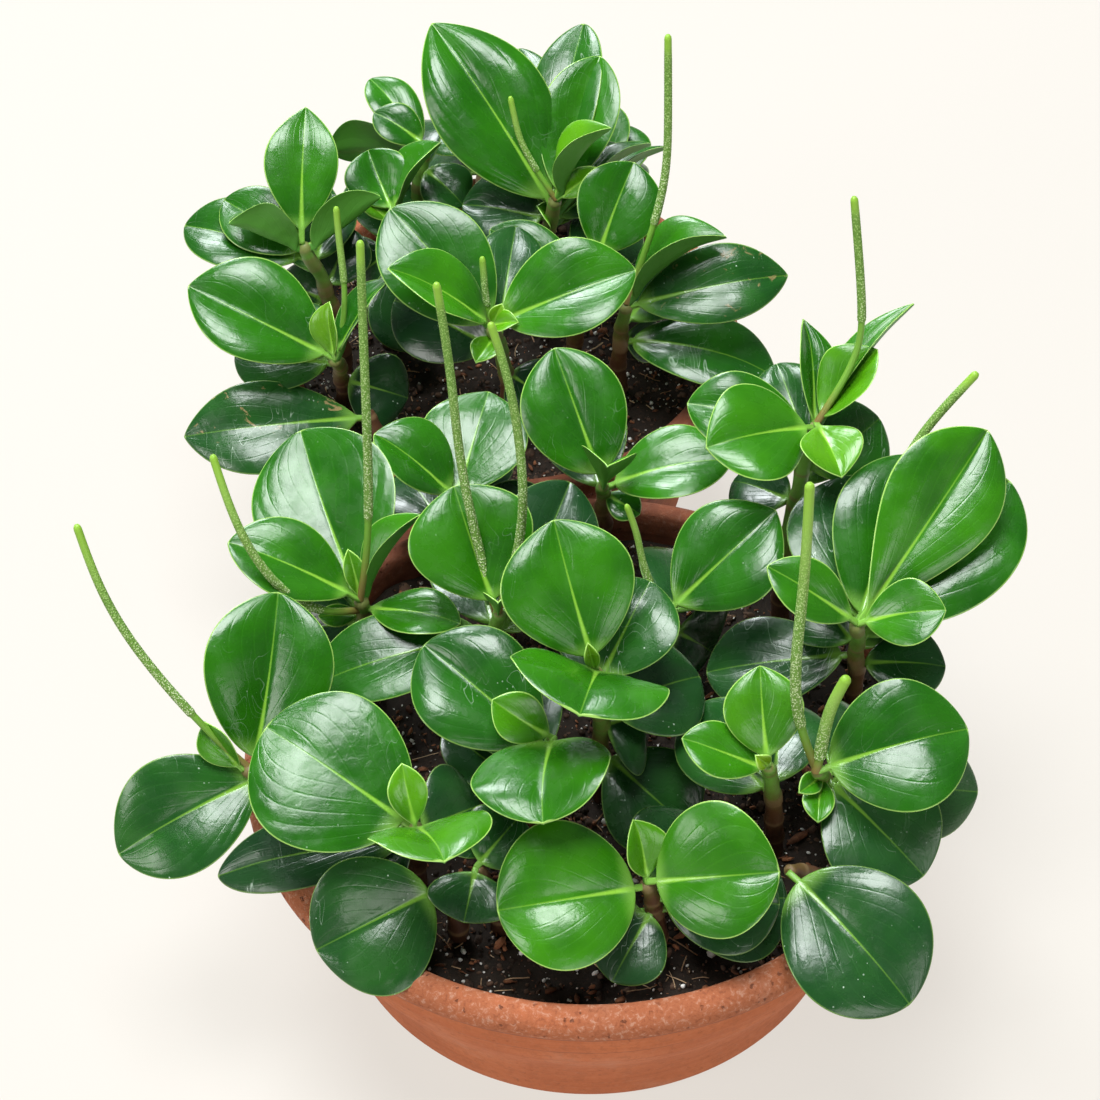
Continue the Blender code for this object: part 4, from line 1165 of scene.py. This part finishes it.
def makeLeafMaterial(veins, dust):
    material, surface, place = newMaterial("leafGreen", Specular_IOR_Level=0.5)
    age, tint, under, stalk, spots, halfWidth = (
        mark(place, name) for name in ("age", "tint", "under", "stalk", "spots", "halfWidth"))
    flat = source(place.tree, "UVMap", 0, uv_map="surface")
    lines = add("Group", {"Place": flat, "HalfWidth": halfWidth}, node_tree=veins)
    wear = add("Group", {"Place": place, "Amount": ease(age, 0.25, 0.85, 0.08, 1.0)}, node_tree=dust)
    base = ramp(age, leafLook["ages"])
    paler = tone(1.0, base, leafLook["paler"], "MULTIPLY")
    darker = tone(1.0, base, leafLook["darker"], "MULTIPLY")
    base = tone(ease(speckle(place, 34.0), 0.3, 0.7), darker, paler)
    base = tone(ease(tint, 0.0, 1.0) * 0.35, base, darker)
    base = tone(speckle(place, 900.0) * 0.22, base, paler)
    base = tone(lines("Veins") * 0.22, base, paler)
    base = coats(
        base, leafLook,
        (lines("Midrib") * ease(age, 0.1, 1.0, 0.9, 0.55), "midrib"),
        (lines("Margin") * ease(age, 0.1, 1.0, 0.85, 0.25), "margin"),
        (stalk * 0.85, "stalk"),
        (wear("Specks") * 0.75, "speck"),
        (wear("Scratches") * 0.45, "speck"),
        (ease(speckle(place, 110.0, 4.0, 0.6, 1.5), 0.63, 0.69) * spots, "spot"))
    below = tone(age * 0.5, leafLook["under"], darker)
    shine = ease(speckle(place, 120.0, 3.0), 0.3, 0.7, *leafLook["shine"])
    shine = shine + wear("Smears") * 0.06 + under * 0.25 + wear("Specks") * 0.3
    height = speckle(place, 190.0, 3.0, 0.55, 0.6) * 0.75 + speckle(place, 75.0) * 1.1
    height = height - lines("Veins") * 0.16 - lines("Midrib") * 0.4
    dress(surface, tone(under, base, below), shine, bump(height, 0.4, 0.6 * mm))
    return material


stemLook = {
    "heights": [(0.0, (0.060, 0.024, 0.012)), (0.3, (0.105, 0.045, 0.016)), (0.55, (0.13, 0.10, 0.022)),
                (0.8, (0.13, 0.25, 0.035)), (1.0, (0.15, 0.36, 0.045))],
    "mottle": (0.5, 0.45, 0.4),
    "scar": (0.20, 0.13, 0.06),
    "greenFrom": 90 * mm,  # over the soil
}


def makeStemMaterial(grain):
    material, surface, place = newMaterial("stemFlesh", Specular_IOR_Level=0.4)
    spread = add("Group", {"Place": place, "Scale": 160.0}, node_tree=grain)
    soil = plant["soilLevel"]
    level = ease(mark(place, "height"), soil, soil + stemLook["greenFrom"])
    base = ramp(level + (spread("Patches") - 0.5) * 0.3, stemLook["heights"])
    base = tone(spread("Grain") * 0.5, base, stemLook["mottle"], "MULTIPLY")
    base = tone(ease(mark(place, "knot"), 0.55, 0.95) * 0.6, base, stemLook["scar"])
    dress(surface, base, ease(spread("Grain"), 0.3, 0.7, 0.38, 0.6),
          bump(spread("Grain"), 0.5, 0.4 * mm))
    return material


spikeLook = {
    "stalk": (0.15, 0.33, 0.035),
    "stalkFoot": (0.22, 0.15, 0.045),
    "pebbles": (0.25, 0.44, 0.070),
    "dust": (0.68, 0.77, 0.48),
    "hollows": (0.12, 0.25, 0.038),
    "tip": (0.22, 0.42, 0.035),
}


def makeSpikeMaterial(grain):
    material, surface, place = newMaterial("spikeGreen", Specular_IOR_Level=0.35)
    share, ripe, flower = (mark(place, name) for name in ("share", "ripe", "flower"))
    cells = add("TexVoronoi", {"Vector": place, "Scale": 1050.0})("Distance")
    spread = add("Group", {"Place": place, "Scale": 300.0}, node_tree=grain)
    look = spikeLook
    stalk = tone(ease(share, 0.0, 0.2), look["stalkFoot"], look["stalk"])
    smooth = tone(ease(share, 0.75, 1.0), look["pebbles"], look["tip"])
    pale = tone(ease(share, 0.85, 0.25, 0.2, 1.0), look["pebbles"], look["dust"])
    pebbles = tone(ease(cells, 0.50, 0.25), look["hollows"], pale)
    pebbles = tone(spread("Grain") * 0.3, pebbles, look["pebbles"])
    body = tone(ripe, smooth, pebbles)
    height = (1.0 - cells) * ripe + spread("Grain") * 0.3
    dress(surface, tone(flower, stalk, body), ease(ripe, 0.0, 1.0, 0.42, 0.75),
          bump(height, 0.7, 0.5 * mm))
    return material


clayLook = {
    "plain": (0.49, 0.145, 0.056),
    "worn": (0.35, 0.112, 0.050),
    "dark": (0.31, 0.076, 0.029),
    "bloom": (0.52, 0.30, 0.21),
    # darkest brown: the dark mottle on the lip, and painted shade under the lip and at the band's step
    "mottleAndShade": (0.20, 0.058, 0.026),
    # darker pits, and painted shade between the two bowls
    "pitAndShade": (0.13, 0.042, 0.024),
}


def makeClayMaterial(grain):
    # plain clay with patches, turning marks and a pale mineral bloom; a worn, mottled lip;
    # darker pits; painted shade as dark lines under the lip and the band, and where the two bowls meet
    material, surface, place = newMaterial("terracottaClay", Specular_IOR_Level=0.22)
    spread = add("Group", {"Place": place, "Scale": 90.0}, node_tree=grain)
    split = add("SeparateXYZ", {0: place})
    depth, height = split(1), split(2)
    turned = speckle(stretched(place, (6.0, 6.0, 320.0)), 1.0, 3.0, 0.6)
    wobble = add("TexNoise", {"Vector": place, "Scale": 500.0, "Detail": 3.0})("Color")
    wobble = add("VectorMath", {0: wobble, 3: 0.004}, operation="SCALE")()
    wobbled = add("VectorMath", {0: place, 1: wobble})()
    pits = add("TexVoronoi", {"Vector": wobbled, "Scale": 300.0})
    chosen = add("SeparateColor", {0: pits("Color")})()
    pitted = ease(pits("Distance"), 0.36, 0.16) * ease(chosen, 0.80, 0.92)
    pitted = pitted * ease(height, 90 * mm, 112 * mm, 0.25, 1.0)
    lip = ease(height, 104 * mm, 110 * mm)
    mottle = speckle(place, 330.0, 5.0, 0.75, 0.5)
    mottled = ease(lip, 0.0, 1.0, 0.08, 0.6)
    worn = lip * ease(speckle(place, 55.0, 4.0, 0.65), 0.25, 0.55, 0.45, 1.0)
    bloom = ease(speckle(place, 16.0, 5.0, 0.62, 0.3), 0.52, 0.72)
    # painted shade: dark lines under the lip's overhang and at the band's step
    creaseShade = ease(height, 95.8 * mm, 98 * mm) * ease(height, 108.2 * mm, 106.8 * mm)
    stepShade = ease(height, 79.4 * mm, 80.8 * mm) * ease(height, 84.0 * mm, 82.6 * mm)
    # painted shade between the two bowls, in patches
    middle = ease(depth, -0.09, -0.02) * ease(depth, 0.15, 0.08)
    betweenShade = middle * ease(speckle(place, 70.0, 4.0, 0.7), 0.25, 0.6, 0.55, 1.0)
    base = coats(
        tone(spread("Patches"), clayLook["dark"], clayLook["plain"]), clayLook,
        (0.72, "plain"),
        (ease(turned, 0.4, 0.75) * 0.30, "dark"),
        (ease(spread("Grain"), 0.48, 0.62) * 0.5, "worn"),
        (worn * 0.9, "worn"),
        (bloom * 0.22, "bloom"),
        (ease(mottle, 0.52, 0.64) * mottled, "bloom"),
        (ease(mottle, 0.48, 0.34) * mottled, "mottleAndShade"),
        (pitted * 0.75, "pitAndShade"),
        # painted shade: the lines under the lip and band, and the patches between the bowls
        (creaseShade * 0.85 + stepShade * 0.75, "mottleAndShade"),
        (betweenShade * 0.85, "pitAndShade"))
    rough = spread("Grain") * ease(lip, 0.0, 1.0, 0.45, 1.3) + turned * 0.7 - pitted * 1.5
    dress(surface, base, ease(spread("Grain"), 0.3, 0.7, 0.78, 0.92), bump(rough, 0.8, 0.7 * mm))
    return material


def makeGroundMaterial(grain, name, dark, light, roughness, scale):
    material, surface, place = newMaterial(name, Specular_IOR_Level=0.25)
    spread = add("Group", {"Place": place, "Scale": scale}, node_tree=grain)
    mixed = spread("Grain") * 0.9 + (mark(place, "tint") - 0.5) * 0.5
    dress(surface, tone(ease(mixed, 0.15, 0.8), dark, light),
          ease(spread("Grain"), 0.3, 0.7, roughness - 0.12, roughness),
          bump(spread("Grain"), 0.8, 0.8 * mm))
    return material


# Straw: thin bent fibres that lie over the soil


def strawParts(bowl, centre, seed, count, random):
    parts = []
    edge = (bowl["rim"] - 24) * mm
    t = np.linspace(-0.5, 0.5, 9)
    for _ in range(count):
        reach = edge * random.uniform() ** 0.5
        turn, heading = random.uniform(0, 6.28), random.uniform(0, 6.28)
        length = (2.5 + 17 * random.uniform() ** 3) * mm
        bow = random.uniform(-0.3, 0.3) * (t * t)
        cosine, sine = math.cos(heading), math.sin(heading)
        x = reach * math.cos(turn) + length * (t * cosine - bow * sine)
        y = reach * math.sin(turn) + length * (t * sine + bow * cosine)
        keep = np.minimum(1, edge / np.hypot(x, y).clip(1e-6))  # none lies over the rim
        x, y = x * keep, y * keep
        z = soilHeight(x, y, seed) + random.uniform(0.6, 2.0) * mm
        z = z.mean() + (z - z.mean()) * 0.3
        radius = np.full(9, random.uniform(0.18, 0.36) * mm)
        line = np.stack([x, y, z], 1) + centre
        parts.append(rodPart(line, radius, 5, values={"tint": random.uniform()}))
    return parts


# Putting the pieces together


veins, dust, grain = makeLeafVeins(), makeSurfaceDust(), makeFineGrain()
finishes = {
    "leaf": makeLeafMaterial(veins, dust),
    "stem": makeStemMaterial(grain),
    "spike": makeSpikeMaterial(grain),
    "clay": makeClayMaterial(grain),
}
for part, name, dark, light, roughness, scale in (
    ("soil", "soilDark", (0.018, 0.012, 0.008), (0.14, 0.080, 0.052), 0.9, 260.0),
    ("bark", "barkBrown", (0.050, 0.018, 0.009), (0.34, 0.135, 0.062), 0.85, 220.0),
    ("perlite", "perliteWhite", (0.66, 0.63, 0.57), (0.93, 0.92, 0.88), 0.9, 500.0),
    ("straw", "strawPale", (0.30, 0.16, 0.08), (0.62, 0.44, 0.26), 0.8, 400.0),
):
    finishes[part] = makeGroundMaterial(grain, name, dark, light, roughness, scale)
finishes["crumbs"] = finishes["soil"]


def buildBowls():
    for number, (name, bowl) in enumerate(bowls.items()):
        centre, seed = centres[name], number * 7.7
        random = np.random.default_rng(40 + number)
        share = (bowl["rim"] / bowls["front"]["rim"]) ** 2
        clay = makeMesh(f"{name}_clay", [bowlPart(bowl, centre, seed)], finishes["clay"])
        settle(clay, "terracotta", f"{name}_bowl")
        mix = makeMesh(f"{name}_mix", [soilPart(bowl, centre, seed)], finishes["soil"])
        settle(mix, "potting_soil", f"{name}_soil")
        for kind, recipe in ground.items():
            lumps = lumpPart(bowl, centre, seed, recipe, share, random)
            settle(makeMesh(f"{name}_{kind}", [lumps], finishes[kind]), "potting_soil")
        straw = strawParts(bowl, centre, seed, int(strawCount * share), random)
        settle(makeMesh(f"{name}_straw", straw, finishes["straw"]), "potting_soil")
        print("bowl and soil:", name)


def buildShoots():
    for number, (name, shoot) in enumerate(shoots.items()):
        random = np.random.default_rng(100 + number)
        stem = makeMesh(f"stalk_{name}", [stemPart(shoot, random)], finishes["stem"])
        settle(stem, "stem", f"stem_{name}")
        parts = [leafPart(shoot, leaf, leafLooks.get((name, k), {}), random)
                 for k, leaf in enumerate(shoot["leaves"])]
        settle(makeMesh(f"leaves_{name}", parts, finishes["leaf"]), "leaf", f"crown_{name}")
    print("shoots:", len(shoots))


def buildSpikes():
    for name in spikes:
        settle(makeMesh(name, [spikePart(name)], finishes["spike"]), "leaf")
    print("spikes:", len(spikes))


buildBowls()
buildShoots()
buildSpikes()


# The studio: a pale floor, a pale room, a large soft light high behind on the left, a
# wide one above, and two weak ones at the left and in front

studio = {
    "floor": (0.154, 0.148, 0.138),
    "floorFibres": (0.18, 0.17, 0.16),
    "floorGlow": (0.690, 0.660, 0.610),
    "floorReach": 14.0,
    "backdrop": (0.97, 0.94, 0.89),
    "roomLow": (0.30, 0.30, 0.29),
    "roomHigh": (0.09, 0.095, 0.105),
    "aim": (0, 0.05, 0.12),  # where all the lights point
    "lights": {  # place, size, watts, colour
        "backSoft": ((-0.9, 2.3, 2.5), (1.3, 1.1), 105, (0.92, 0.97, 1.0)),
        "topSoft": ((-0.25, -0.05, 2.9), (1.4, 1.4), 112, (0.96, 0.985, 1.0)),
        "sideSoft": ((-2.5, -1.6, 1.7), (1.2, 1.2), 32, (1.0, 0.985, 0.96)),
        "frontSoft": ((1.2, -2.9, 1.0), (2.2, 1.2), 26, (1.0, 0.98, 0.95)),
    },
}


def makeFloor():
    wide = studio["floorReach"]
    mesh = bpy.data.meshes.new("floor")
    corners = [(-wide, -wide, 0), (wide, -wide, 0), (wide, wide, 0), (-wide, wide, 0)]
    mesh.from_pydata(corners, [], [(0, 1, 2, 3)])
    material, surface, place = newMaterial(
        "floorPaper", Roughness=0.9, Specular_IOR_Level=0.1,
        Emission_Color=colour(studio["floorGlow"]), Emission_Strength=1.0)
    fibres = speckle(place, 40.0, 4.0) * 0.03
    put(surface["Base Color"], tone(fibres, studio["floor"], studio["floorFibres"]))
    mesh.materials.append(material)
    item = bpy.data.objects.new("floor", mesh)
    bpy.context.scene.collection.objects.link(item)


def makeRoom():
    world = bpy.data.worlds.new("room")
    bpy.context.scene.world = world
    world.use_nodes = True
    tree = world.node_tree
    level = add("SeparateXYZ", {0: source(tree, "TexCoord", "Generated")})(2)
    shade = tone(ease(level, 0.0, 0.7), studio["roomLow"], studio["roomHigh"])
    seen = source(tree, "LightPath", "Is Camera Ray")
    put(tree.nodes["Background"].inputs["Color"], tone(seen, shade, studio["backdrop"]))


def makeLights():
    for name, (place, size, watts, shade) in studio["lights"].items():
        data = bpy.data.lights.new(name, "AREA")
        data.shape, (data.size, data.size_y) = "RECTANGLE", size
        data.energy, data.color = watts, shade
        item = bpy.data.objects.new(name, data)
        item.location = place
        toward = Vector(studio["aim"]) - item.location
        item.rotation_euler = toward.to_track_quat("-Z", "Y").to_euler()
        bpy.context.scene.collection.objects.link(item)


def makeCamera():
    data = bpy.data.cameras.new("camera")
    data.sensor_width = 36
    data.lens = data.sensor_width / 2 * view["distance"] / (view["frame"] / 2)
    data.clip_start, data.clip_end = 0.05, 60
    item = bpy.data.objects.new("camera", data)
    turned = np.eye(4)
    turned[:3, 0], turned[:3, 1], turned[:3, 2], turned[:3, 3] = right, up, -forward, eye
    item.matrix_world = Matrix(turned.tolist())
    bpy.context.scene.collection.objects.link(item)
    bpy.context.scene.camera = item


makeFloor()
makeRoom()
makeLights()
makeCamera()
bpy.context.scene.view_settings.view_transform = "Standard"
print("studio ready")
